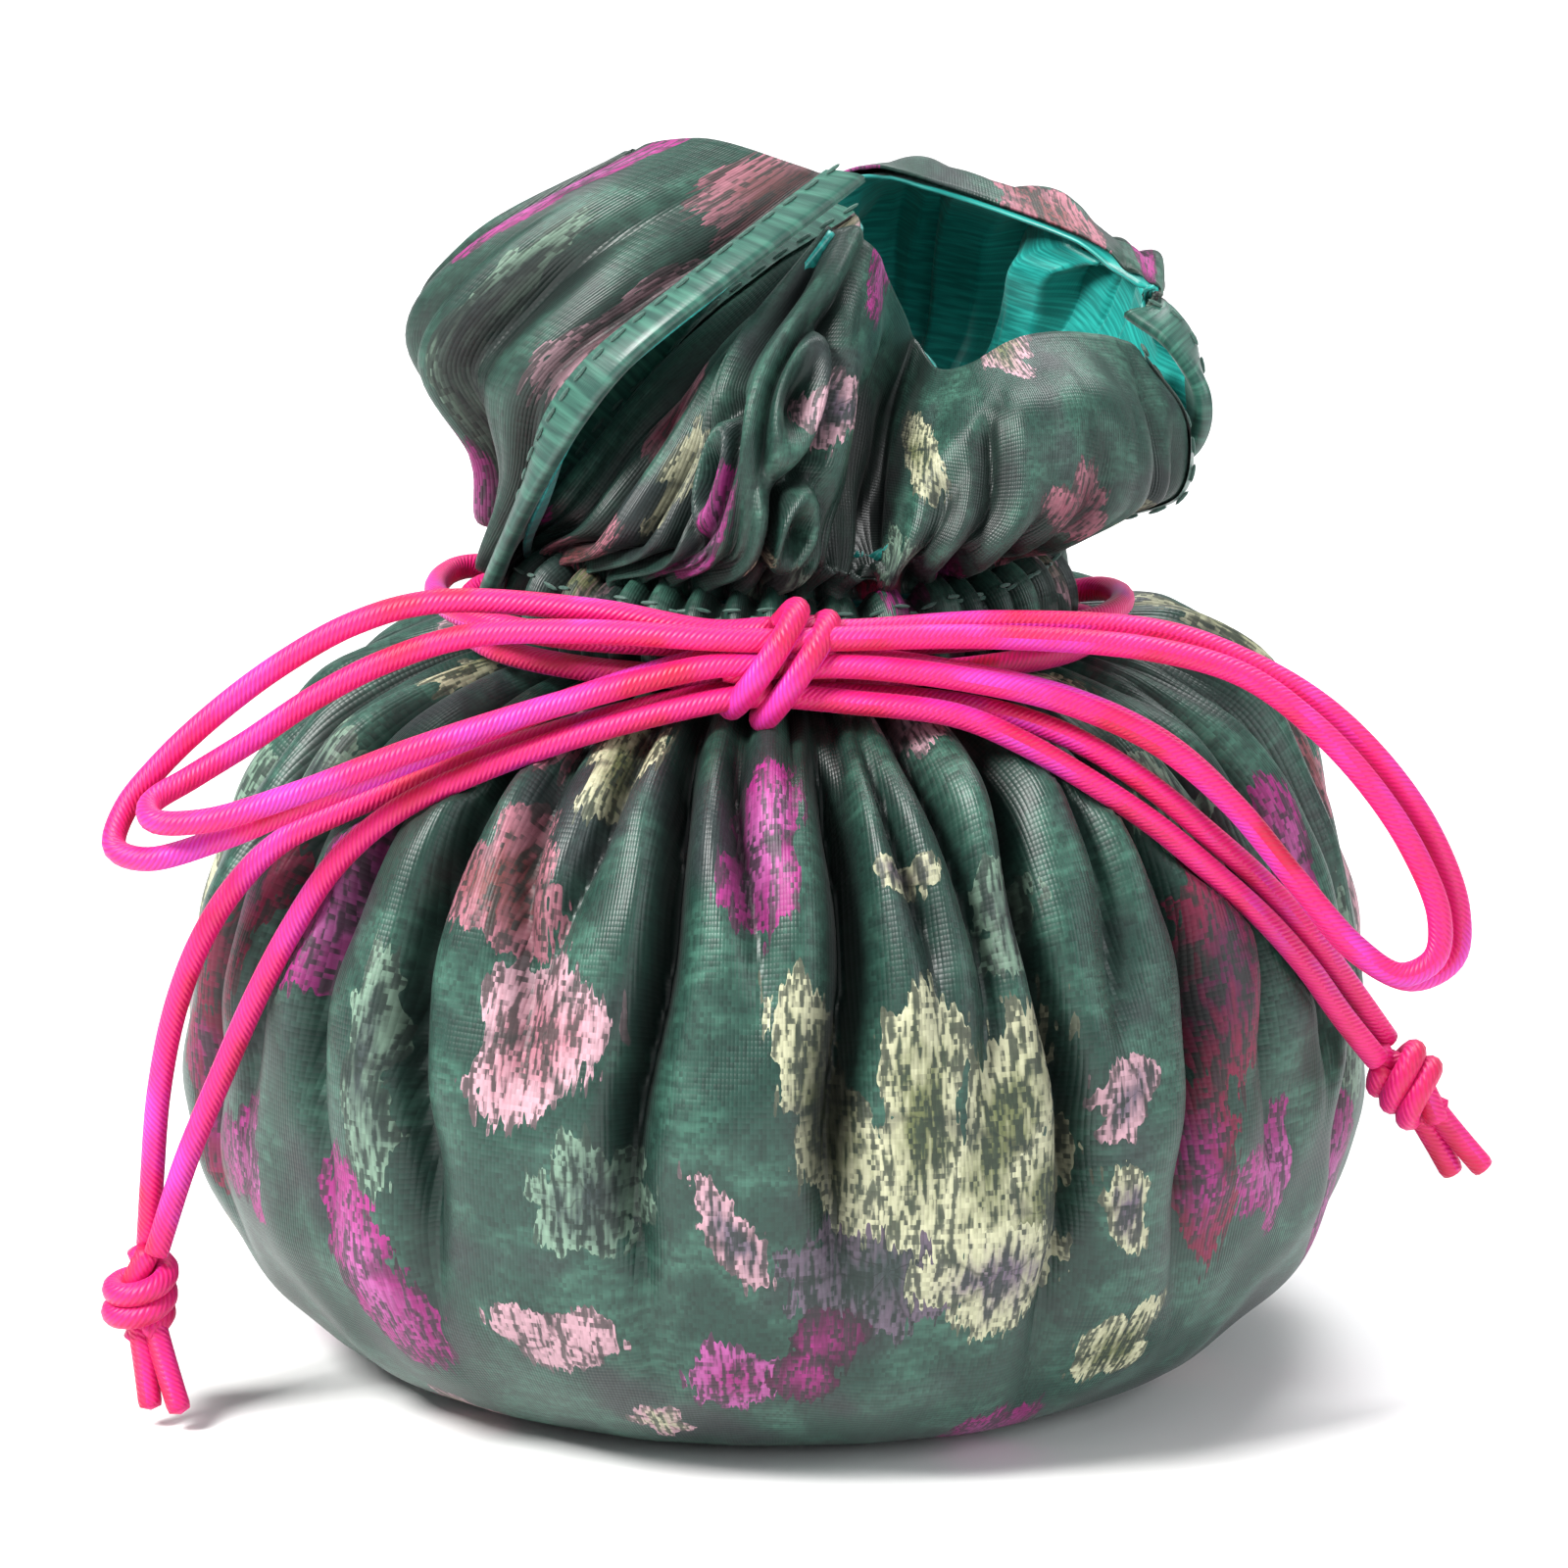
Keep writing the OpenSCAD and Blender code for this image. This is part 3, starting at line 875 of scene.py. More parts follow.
@dataclass
class Wardrobe:
    """Every finish, built once."""

    brocade: bpy.types.Material = field(default_factory=lambda: BrocadeFinish().build())
    lining: bpy.types.Material = field(
        default_factory=lambda: SatinFinish("lining_satin", linear(8, 126, 120), linear(44, 192, 180)).build()
    )
    binding: bpy.types.Material = field(
        default_factory=lambda: SatinFinish("binding_satin", linear(22, 66, 57), linear(62, 120, 102)).build()
    )
    cord: bpy.types.Material = field(default_factory=lambda: CordFinish().build())
    thread: bpy.types.Material = field(default_factory=lambda: ThreadFinish().build())


# ---------------------------------------------------------------------------------------------
# Cords
# ---------------------------------------------------------------------------------------------


@dataclass
class Strand:
    """One length of satin cord along a route given in mm."""

    name: str
    body: str
    route: list[Point]
    node: str
    far_end: FarEnd
    inner_start: tuple = ()
    inner_end: tuple = ()
    diameter: float = CORD_D
    sides: int = 14
    step: float = 0.7 * MM

    def build(self, wardrobe: Wardrobe) -> bpy.types.Object:
        """Makes the strand's tube.

        Args:
            wardrobe: The finishes.

        Returns:
            The tube.
        """
        path = smooth_through(np.array([*self.inner_start, *self.route, *self.inner_end], float) * MM, 16)
        self.path = even_steps(path, self.step)
        self.length = path_length(self.path)
        piece = tube(self.name, self.path, self.diameter / 2, self.sides)
        piece.data.materials.append(wardrobe.cord)
        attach(piece, self.body)
        return piece


def tube(name: str, path: np.ndarray, radius: float | np.ndarray, sides: int) -> bpy.types.Object:
    """Sweeps a closed round tube along a path.

    Args:
        name: The piece's name.
        path: Ring centres in metres.
        radius: One radius, or one for each ring.
        sides: Sides of each ring.

    Returns:
        The tube, with its winding position in the cord UV map.
    """
    count = len(path)
    radii = np.broadcast_to(np.asarray(radius, float), (count,))
    heading = np.gradient(path, axis=0)
    heading /= np.linalg.norm(heading, axis=1)[:, None]
    side = np.cross(heading[0], (0.13, 0.2, 0.97))
    side /= np.linalg.norm(side)
    vertices = []
    for centre, forward, r in zip(path, heading, radii):
        side = side - side.dot(forward) * forward
        side /= np.linalg.norm(side)
        other = np.cross(forward, side)
        for k in range(sides):
            turn = 2 * math.pi * k / sides
            vertices.append(centre + r * (math.cos(turn) * side + math.sin(turn) * other))
    faces = []
    corners = []
    along = np.concatenate([[0.0], np.cumsum(np.linalg.norm(np.diff(path, axis=0), axis=1))]) * 10
    girth = 2 * math.pi * float(radii.mean()) * 10 / sides
    for i in range(count - 1):
        for k in range(sides):
            n = (k + 1) % sides
            faces.append((i * sides + k, i * sides + n, (i + 1) * sides + n, (i + 1) * sides + k))
            corners += [(along[i], k * girth), (along[i], (k + 1) * girth),
                        (along[i + 1], (k + 1) * girth), (along[i + 1], k * girth)]
    for ring, inner in ((0, 1), (count - 1, -1)):
        centre_number = len(vertices)
        vertices.append(path[ring] - inner * heading[ring] * float(radii[ring]) * 0.35)
        for k in range(sides):
            n = (k + 1) % sides
            pair = (ring * sides + n, ring * sides + k) if ring == 0 else (ring * sides + k, ring * sides + n)
            faces.append((*pair, centre_number))
            corners += [(along[ring], k * girth)] * 3
    piece = link_mesh(name, vertices, faces)
    set_uv(piece, CORD_UV, np.array(corners))
    return piece


def join_pieces(name: str, pieces: list[bpy.types.Object]) -> bpy.types.Object:
    """Joins meshes into one piece.

    Args:
        name: The joined piece's name.
        pieces: Meshes at the origin.

    Returns:
        The joined piece.
    """
    with bpy.context.temp_override(active_object=pieces[0], object=pieces[0],
                                   selected_editable_objects=pieces, selected_objects=pieces):
        bpy.ops.object.join()
    pieces[0].name = name
    pieces[0].data.name = name
    return pieces[0]


RIGHT_LEAD_HIGH = [(23, 2.3, 68.4), (28.2, 1.2, 69.6), (30.5, -6, 70.6), (28, -16, 71.2), (19, -24, 71.6),
    (5, -27.5, 71.6)]
RIGHT_LEAD_LOW = [(23, -2.3, 68.4), (27, -2.6, 68), (28.2, -7.5, 67.9), (25.5, -15, 68), (18, -21.5, 68.2),
    (5, -27, 68.4)]
LEFT_LEAD_HIGH = [(-23, 2.3, 71.4), (-28.2, 1.2, 71.6), (-30.5, -6, 71.6), (-28, -16, 71.6),
    (-19, -24, 71.6), (-5, -27.5, 71.6)]
LEFT_LEAD_LOW = [(-23, -2.3, 71.4), (-26.8, -2.5, 70.6), (-28, -7.5, 69), (-25.5, -15, 68.4),
    (-18, -21.5, 68.2), (-5, -27, 68.4)]
LEFT_LOOP_BACK = [(-5.8, -30, 73.6), (-16, -28.2, 75), (-30, -26.5, 75.4), (-37, -26, 73.4),
    (-43.5, -25.5, 69.6), (-49.5, -25.5, 65), (-54.2, -26, 60.6), (-57.4, -27.4, 56.8), (-58.2, -29.7, 54),
    (-55.4, -31.4, 53.4), (-48.5, -31.5, 55.4), (-41, -31.2, 58.6), (-31, -30.8, 62.7), (-18, -30.4, 67.6),
    (-5.8, -30.2, 71.2)]
LEFT_LOOP_FRONT = [(-5.8, -32.6, 73.6), (-17, -30.8, 73.8), (-27, -28.8, 72.9), (-34.5, -27.4, 70.2),
    (-41, -26.8, 66.6), (-46.5, -26.8, 62.8), (-51.5, -27.6, 59.8), (-55, -29.8, 58), (-54.6, -32.6, 57.2),
    (-50, -34, 57.6), (-42, -33.8, 60), (-32, -33.4, 63.8), (-18, -33, 68.2), (-5.8, -32.8, 71.2)]
RIGHT_LOOP_BACK = [(5.8, -30, 73.6), (19, -28.4, 74), (33.5, -27.2, 72.8), (41, -26.8, 70),
    (47.5, -26.6, 66), (53, -26.8, 60.6), (57.2, -27.2, 54.4), (59.6, -27.8, 47.8), (59.2, -28.6, 43.6),
    (55.6, -29, 41.8), (50.4, -29.2, 44.6), (45.6, -29, 50.4), (40, -29, 57.4), (33.8, -29.2, 63.2),
    (26, -29.6, 67.2), (16, -30, 69.8), (5.8, -30.2, 71.2)]
RIGHT_LOOP_FRONT = [(5.8, -32.6, 73.6), (19, -31.2, 73.4), (33, -30.4, 72), (40.5, -29.8, 69.6),
    (46.5, -29.6, 65.2), (51.4, -29.8, 60), (55.4, -30.2, 54), (57.8, -30.8, 48), (57.4, -31.4, 44.4),
    (54.4, -31.8, 43), (50.4, -31.8, 45.6), (45, -31.6, 51.8), (39.4, -31.6, 58.6), (33, -31.8, 64),
    (25, -32.2, 67.8), (16, -32.6, 70), (5.8, -32.8, 71.2)]
LEFT_TAIL_BACK = [(-5.8, -30.4, 68), (-18, -29.5, 64.8), (-31, -28, 59.9), (-38.5, -26.6, 56.4),
    (-44, -25.3, 53.2), (-47.8, -24.6, 49.2), (-51, -24.2, 44), (-53.4, -24, 37.5), (-54.9, -24, 30),
    (-55.6, -24, 22), (-56, -24, 16)]
LEFT_TAIL_FRONT = [(-5.8, -32.8, 68), (-17, -32.3, 65), (-28, -31.3, 60.6), (-34, -30.6, 57.2),
    (-39, -29.8, 52.4), (-42.8, -29, 46.4), (-46, -28, 40), (-49.2, -27.2, 32.5), (-52.4, -26.7, 24.6),
    (-55.2, -26.3, 15.8)]
RIGHT_TAIL_BACK = [(5.8, -30.4, 68), (17, -30.5, 66.9), (25, -30.5, 64.4), (31.8, -30, 60.1),
    (37.6, -28.5, 54.9), (42.6, -26, 49.7), (46.7, -23.5, 44.5), (50.2, -20.5, 39.1), (54, -17.3, 32.9)]
RIGHT_TAIL_FRONT = [(5.8, -32.8, 68), (15.5, -33, 66.8), (21.2, -32.8, 64.3), (27, -32.2, 60.7),
    (32.7, -31, 56.5), (37.6, -29.5, 52), (42.5, -27.5, 47), (46.5, -25, 41.8), (49.7, -22.6, 36.7),
    (53, -20.2, 31.9)]
LEFT_KNOT_AT = (-56.6, -25.1, 11.6)
RIGHT_KNOT_AT = (55.8, -18.4, 29.2)


@dataclass
class EndKnot:
    """An overhand knot in both strands of a tail, and the two cut ends below it."""

    side: str
    centre: Point
    axis: Point
    ends_from: Point
    ends_to: Point
    wrap_r: float = 2.3 * MM
    cord_d: float = CORD_D

    def build(self, wardrobe: Wardrobe) -> list[bpy.types.Object]:
        """Makes the knot and the cut ends.

        Args:
            wardrobe: The finishes.

        Returns:
            The knot and the ends, as two pieces.
        """
        pieces = [self._knot(), self._ends()]
        for piece in pieces:
            piece.data.materials.append(wardrobe.cord)
            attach(piece, f"{self.side}_tail")
        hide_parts(f"{self.side}_end_knot")
        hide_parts(f"{self.side}_cord_ends")
        return pieces

    def _turned(self, local: np.ndarray) -> np.ndarray:
        """Places points drawn round +Z so that they lie round the knot's own axis."""
        turn = Vector((0, 0, 1)).rotation_difference(Vector(self.axis))
        return np.array([turn @ Vector(p) for p in local]) + np.array(self.centre) * MM

    def _knot(self) -> bpy.types.Object:
        """Winds a doubled wrap round the strands, with one turn crossing over the other.

        Returns:
            The knot.
        """
        count = 76
        turns = np.linspace(-0.2, 1.3, count) * 2 * math.pi
        parts = []
        for lane in (-0.5, 0.5):
            climb = np.linspace(-1.5, 1.5, count) * MM
            lift = climb + lane * self.cord_d * 0.95 + 0.7 * MM * np.sin(turns + 0.8)
            r = self.wrap_r * (0.74 + 0.34 * np.sin(np.linspace(0, math.pi, count)))
            wrap = np.stack([r * np.cos(turns), r * 0.92 * np.sin(turns), lift], axis=1)
            parts.append(tube("wrap", self._turned(wrap), self.cord_d * 0.5, 12))
        rise = np.linspace(-4.2, 4.2, 18)
        for lane in (-1, 1):
            aside = lane * 0.9 * np.cos(rise * 0.5)
            ahead = 0.4 * lane * np.sin(rise * 0.4 + 0.6)
            core = np.stack([aside, ahead, rise], axis=1)
            parts.append(tube("core", self._turned(core * MM), self.cord_d * 0.5, 12))
        return join_pieces(f"{self.side}_end_knot_wraps", parts)

    def _ends(self) -> bpy.types.Object:
        """Makes the two cut ends, slightly splayed.

        Returns:
            The ends.
        """
        start = np.array(self.ends_from)
        stop = np.array(self.ends_to)
        forward = (stop - start) / np.linalg.norm(stop - start)
        aside = np.cross(forward, (0.35, 0.93, 0.1))
        aside /= np.linalg.norm(aside)
        t = np.linspace(0.0, 1.0, 18)[:, None]
        parts = []
        for lane in (-1, 1):
            splay = lane * (0.75 + 0.65 * t**1.5) * aside
            shorter = 1.0 if lane > 0 else 0.9
            path = start + (stop - start) * t * shorter + splay
            radius = self.cord_d * 0.5 * np.where(t[:, 0] > 0.96, 0.9, 1.0)
            parts.append(tube("end", path * MM, radius, 12))
        return join_pieces(f"{self.side}_cut_ends", parts)


LOOP_ROUTES = {
    ("left", "front"): (LEFT_LOOP_FRONT, (-0.6, -32.6, 73.4), (-0.8, -32.7, 71.3)),
    ("left", "back"): (LEFT_LOOP_BACK, (-0.8, -30.6, 74.0), (-1.2, -30.6, 71.3)),
    ("right", "front"): (RIGHT_LOOP_FRONT, (0.6, -32.6, 73.4), (0.8, -32.7, 71.0)),
    ("right", "back"): (RIGHT_LOOP_BACK, (0.8, -30.6, 74.0), (1.2, -30.6, 71.0)),
}
TAIL_ROUTES = {
    ("left", "front"): (LEFT_TAIL_FRONT, (-0.6, -32.7, 68.7)),
    ("left", "back"): (LEFT_TAIL_BACK, (-0.8, -30.8, 68.4)),
    ("right", "front"): (RIGHT_TAIL_FRONT, (0.6, -32.7, 68.5)),
    ("right", "back"): (RIGHT_TAIL_BACK, (0.8, -30.8, 68.2)),
}


@dataclass
class Bow:
    """Leads, loops, tails and knots of the doubled satin cord."""

    wardrobe: Wardrobe
    knot_at: Point = (0.0, -31.0, 70.8)
    wrap_r: float = 1.15 * MM
    bundle_r: float = 1.1 * MM
    paths: list[np.ndarray] = field(default_factory=list)

    def build(self) -> None:
        """Makes every strand and knot of the bow."""
        self._leads(self._knot())
        self._loops()
        self._tails()

    def _lay(self, strand: Strand) -> None:
        """Args:
            strand: The strand.
        """
        piece = strand.build(self.wardrobe)
        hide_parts(strand.node)
        self.paths.append(strand.path)
        LOG.info("%s %.0f mm", strand.name, strand.length / MM)

    def _leads(self, knot: bpy.types.Object) -> None:
        """Makes the strands from the side slits to the knot, two on each side.

        Args:
            knot: The bow knot that they run into.
        """
        leads = {"left": (LEFT_LEAD_HIGH, LEFT_LEAD_LOW), "right": (RIGHT_LEAD_HIGH, RIGHT_LEAD_LOW)}
        for side, routes in leads.items():
            for place, route in zip(("high", "low"), routes):
                name = f"{side}_lead_{place}"
                sign = math.copysign(1.0, route[0][0])
                inner = ((sign * 1.0, -28.6, route[-1][2]),)
                strand = Strand(name, "root", route, f"{side}_lead", FarEnd.OBJECT, inner_end=inner)
                self._lay(strand)

    def _loops(self) -> None:
        """Makes the four strands of the two loops."""
        for (side, place), (route, start, end) in LOOP_ROUTES.items():
            self._lay(Strand(
                f"{side}_loop_{place}", f"{side}_loop", route, f"{side}_loop_{place}_strand", FarEnd.OBJECT,
                inner_start=(start,), inner_end=(end,),
            ))

    def _tails(self) -> None:
        """Makes the four strands of the two tails, their end knots and their cut ends."""
        knots = {
            "left": EndKnot(
                "left", LEFT_KNOT_AT, (0.05, -0.05, 1), (-56.4, -25.4, 10.2), (-54.4, -28.1, 1.5),
            ),
            "right": EndKnot(
                "right", RIGHT_KNOT_AT, (0.7, 0.0, -0.71), (56.8, -18.1, 27.6), (61.6, -16.9, 20.4),
            ),
        }
        ends = {side: knot.build(self.wardrobe) for side, knot in knots.items()}
        for (side, place), (route, start) in TAIL_ROUTES.items():
            self._lay(Strand(
                f"{side}_tail_{place}", f"{side}_tail", route, f"{side}_tail_{place}_strand", FarEnd.KNOT,
                inner_start=(start,),
            ))

    def _knot(self) -> bpy.types.Object:
        """Winds the slanting wraps of the bow knot and the bundles that they hold.

        Returns:
            The knot.
        """
        centre = np.array(self.knot_at) * MM
        turns = np.linspace(-0.6, 0.6, 60) * 2 * math.pi
        parts = []
        for lane in (-1, 1):
            wrap = np.stack([
                (lane * 1.35 + 2.9 * np.sin(turns)) * MM,
                (0.3 - 3.6 * np.cos(turns)) * MM,
                (4.3 * np.sin(turns) - lane * 0.55) * MM,
            ], axis=1) + centre
            parts.append(tube("wrap", wrap, self.wrap_r, 14))
        across = np.linspace(-1, 1, 24)
        for depth, height in ((-1.2, 0.4), (1.4, 2.2), (1.4, -2.2)):
            bundle = np.stack([
                4.6 * across, depth + 0.4 * across**2, height + 0.8 * np.sin(across * 2.4)
            ], axis=1) * MM + centre
            parts.append(tube("through", bundle, self.bundle_r, 12))
        knot = join_pieces("bow_knot_wraps", parts)
        knot.data.materials.append(self.wardrobe.cord)
        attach(knot, "root")
        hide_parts("bow_knot")
        return knot


# ---------------------------------------------------------------------------------------------
# Sack cloth
# ---------------------------------------------------------------------------------------------


@dataclass(frozen=True)
class Valley:
    """One fold line of the gathers: its angle from the front at the neck and lower down, and its depth."""

    top_deg: float
    low_deg: float
    low_z: float
    depth: float


FRONT_VALLEYS = (
    Valley(-74, -72, 18, 4.5), Valley(-62, -62, 28, 3.0), Valley(-52, -50, 22, 3.5),
    Valley(-40, -37, 14, 4.5), Valley(-30, -27, 38, 2.5), Valley(-21, -24, 44, 2.2),
    Valley(-13, -14, 16, 5.0), Valley(-6, -3, 45, 3.0),
    Valley(6, 6, 20, 6.5), Valley(13, 15, 42, 3.0), Valley(19, 21, 36, 3.5), Valley(28, 29, 10, 5.0),
    Valley(37, 36, 40, 2.5), Valley(45, 45, 16, 4.5), Valley(56, 58, 24, 3.5), Valley(66, 66, 30, 3.0),
    Valley(76, 74, 18, 4.0),
)


def back_valleys(seed: int = 11) -> tuple[Valley, ...]:
    """Spreads fold lines round the back and the sides.

    Args:
        seed: Fixes the spread.

    Returns:
        The fold lines.
    """
    rng = np.random.default_rng(seed)
    found = []
    at = 85.0
    while at < 276.0:
        found.append(Valley(at, at + rng.uniform(-3, 3), rng.uniform(14, 42), rng.uniform(2.4, 5.2)))
        at += rng.uniform(7.5, 13.5)
    return tuple(found)


def smooth_step(low: float, high: float, value: np.ndarray) -> np.ndarray:
    """Returns 0 before the range, 1 past it and a smooth change between; the range may run downwards."""
    t = np.clip((value - low) / (high - low), 0.0, 1.0)
    return t * t * (3 - 2 * t)


class Outline:
    """Half section of a cloth layer, by length along the cloth from the base edge, in mm."""

    def __init__(self, points: np.ndarray) -> None:
        """Spaces the section evenly.

        Args:
            points: Radius and height of places up the section.
        """
        line = even_steps(points, 0.5)
        for _ in range(10):
            line[1:-1] = (line[:-2] + 2 * line[1:-1] + line[2:]) / 4
        self.line = even_steps(line, 0.5)
        self.lengths = np.concatenate([[0.0], np.cumsum(np.linalg.norm(np.diff(self.line, axis=0), axis=1))])
        self.total = float(self.lengths[-1])
        slope = np.gradient(self.line, axis=0)
        self.slope = slope / np.linalg.norm(slope, axis=1)[:, None]

    def at(self, along: np.ndarray) -> tuple:
        """Returns radius, height and the outward direction at lengths up the section."""
        pick = [np.interp(along, self.lengths, column) for column in (*self.line.T, *self.slope.T)]
        return pick[0], pick[1], pick[3], -pick[2]


@dataclass
class SackForm:
    """Outlines and gathers that the outer cloth and the lining share, in mm."""

    base_r: float
    sack_r: float
    neck_z: float
    casing_top_z: float
    belly_z: float = 25.0
    shoulder_r: float = 24.0
    neck_lining_r: float = 20.9
    pleats: int = 44

    def __post_init__(self) -> None:
        """Works out the sections of the body, the casing and the lining."""
        self.valleys = FRONT_VALLEYS + back_valleys()
        self.body = Outline(np.vstack([self._belly(0.0, self.shoulder_r), [(22.6, self.neck_z + 0.3)]]))
        self.casing = Outline(smooth_through(np.array([
            (22.8, self.neck_z - 0.3), (24.6, self.neck_z + 0.5), (25.5, self.neck_z + 2.5),
            (25.7, self.neck_z + 4.3), (25.2, self.neck_z + 6.6), (24.2, self.neck_z + 8),
            (22.4, self.casing_top_z),
        ]), 12))
        inset = Layer.LINING.value
        tube_top = np.array([(self.neck_lining_r, self.casing_top_z)])
        self.lining = Outline(np.vstack([self._belly(inset, self.neck_lining_r), tube_top]))

    def _belly(self, inset: float, neck_r: float) -> np.ndarray:
        """Draws the section from the base edge to the neck.

        Args:
            inset: Depth below the outer cloth.
            neck_r: Radius at the neck.

        Returns:
            Radius and height of places up the section.
        """
        a = np.linspace(0, math.pi / 2, 90)
        wide = self.sack_r - inset
        low = np.stack([self.base_r + (wide - self.base_r) * np.sin(a),
                        self.belly_z - (self.belly_z - inset) * np.cos(a)], axis=1)
        high = np.stack([neck_r + (wide - neck_r) * np.cos(a),
                         self.belly_z + (self.neck_z - inset - self.belly_z) * np.sin(a)], axis=1)
        return np.vstack([low, high[1:]])

    def phase(self, theta: np.ndarray) -> np.ndarray:
        """Returns a phase that grows by one turn for each small pleat, unevenly spaced."""
        return (self.pleats * theta + 1.5 * np.sin(3 * theta + 0.4) + 1.1 * np.sin(5 * theta + 2.1)
                + 0.9 * np.sin(9 * theta + 1.1))

    def folds(self, theta: np.ndarray, r: np.ndarray, z: np.ndarray, pleated: bool) -> tuple:
        """Returns how far the gathers lift the cloth, and how much painted shade each place gets for lying in
        a fold.

        Args:
            theta: Angles round the sack.
            r: Radii in mm.
            z: Heights in mm.
            pleated: Adds the small pleats at the neck.

        Returns:
            Lift in mm, with sharp valleys that run down from the neck and full cloth between them, and a
            share of painted shade from 0 on the full cloth to 1 in the deepest fold.
        """
        facing = (np.degrees(theta) - 270 + 180) % 360 - 180
        near_neck = 0.16 + 0.84 * smooth_step(self.neck_z, self.neck_z - 8, z)
        lift = 0.8 * near_neck * smooth_step(20, 50, z)
        # Painted shade share: strongest along each valley and between the small pleats at the neck.
        crease_shade = np.zeros_like(lift)
        for valley in self.valleys:
            t = (self.neck_z - z) / (self.neck_z - valley.low_z)
            middle = valley.top_deg + (valley.low_deg - valley.top_deg) * np.clip(t, 0, 1.2)
            middle = middle + 1.2 * np.sin(0.16 * z + valley.top_deg)
            off = np.radians((facing - middle + 180) % 360 - 180) * r
            width = (0.9 + 0.26 * valley.depth) * (0.6 + 0.8 * np.clip(t, 0, 1.4))
            fade = 1 - smooth_step(0.45, 1.2, t)
            lean = np.where(off > 0, 1.0, 0.55)
            cusp = np.exp(-(np.sqrt((off / width / lean) ** 2 + 0.02) - 0.14))
            full = np.exp(-((off / width / 3.4) ** 2))
            lift -= 1.65 * valley.depth * near_neck * fade * (cusp - 0.34 * full)
            crease_shade += valley.depth / 4.2 * fade * np.exp(-((off / width / 0.95) ** 2))
        seam = np.abs((np.degrees(theta) % 180 + 90) % 180 - 90) / 180 * math.pi * r
        lift -= 0.5 * np.exp(-((seam / 1.6) ** 2)) * smooth_step(6, 14, z)
        lift += 0.45 * np.sin(7 * theta + 0.14 * z) * np.sin(0.19 * z + 3 * np.sin(2 * theta + 1))
        lift += 0.3 * np.sin(17 * theta - 0.21 * z + 1.7) * np.sin(0.33 * z + 2 * np.sin(5 * theta))
        lift += 3.2 * np.exp(-(((facing - 98) / 24) ** 2)) * smooth_step(44, 60, z) * smooth_step(67, 63, z)
        if pleated:
            tight = smooth_step(self.neck_z - 14, self.neck_z, z)
            pleat = np.abs(np.cos(self.phase(theta) / 2)) ** 0.9
            lift += 0.9 * tight * (2 * pleat - 1.15)
            crease_shade += 0.9 * tight * (1 - pleat) ** 2
        return lift, crease_shade

    def surface(self, theta: np.ndarray, along: np.ndarray, outline: Outline, inset: float = 0.0,
                pleated: bool = True) -> np.ndarray:
        """Places points of the gathered cloth.

        Args:
            theta: Angles round the sack, as a grid.
            along: Lengths up the cloth, as a grid, in mm.
            outline: The layer's section.
            inset: Depth below that section, in mm.
            pleated: Adds the small pleats at the neck.

        Returns:
            Places in mm.
        """
        r, z, out_r, out_z = outline.at(along)
        lift = self.folds(theta, r, z, pleated)[0] - inset
        swell = 0.9 * np.sin(2 * theta + 0.7) * smooth_step(4, 20, z) * smooth_step(self.neck_z, 40, z)
        lift = lift + swell
        r = r + lift * out_r
        z = np.maximum(z + lift * out_z * smooth_step(0, 6, z), 0.12 + 0.9 * inset)
        return np.stack([r * np.cos(theta), r * np.sin(theta), z], axis=-1)


class CordBed:
    """Where the cords lie, so that the cloth can give way under them."""

    def __init__(self, paths: list[np.ndarray]) -> None:
        """Stores the cords' paths.

        Args:
            paths: Each cord's path in metres.
        """
        points = np.vstack(paths)
        self.tree = KDTree(len(points))
        for number, point in enumerate(points):
            self.tree.insert(point, number)
        self.tree.balance()

    def pressed(self, places: np.ndarray, clear: float = 1.55) -> np.ndarray:
        """Moves cloth in towards the sack's middle where a cord lies on it.

        Args:
            places: Points in mm.
            clear: Wanted distance from a cord's middle, in mm.

        Returns:
            The moved points.
        """
        flat = places.reshape(-1, 3).copy()
        for row, place in enumerate(flat):
            if place[1] > 6 or place[2] < 8:
                continue
            for _ in range(4):
                near, _, distance = self.tree.find(place * MM)
                need = clear - distance / MM
                if need <= 0:
                    break
                inward = np.array((-place[0], -place[1], -0.35 * math.hypot(place[0], place[1])))
                place += inward / np.linalg.norm(inward) * need * 0.7
            flat[row] = place
        return flat.reshape(places.shape)


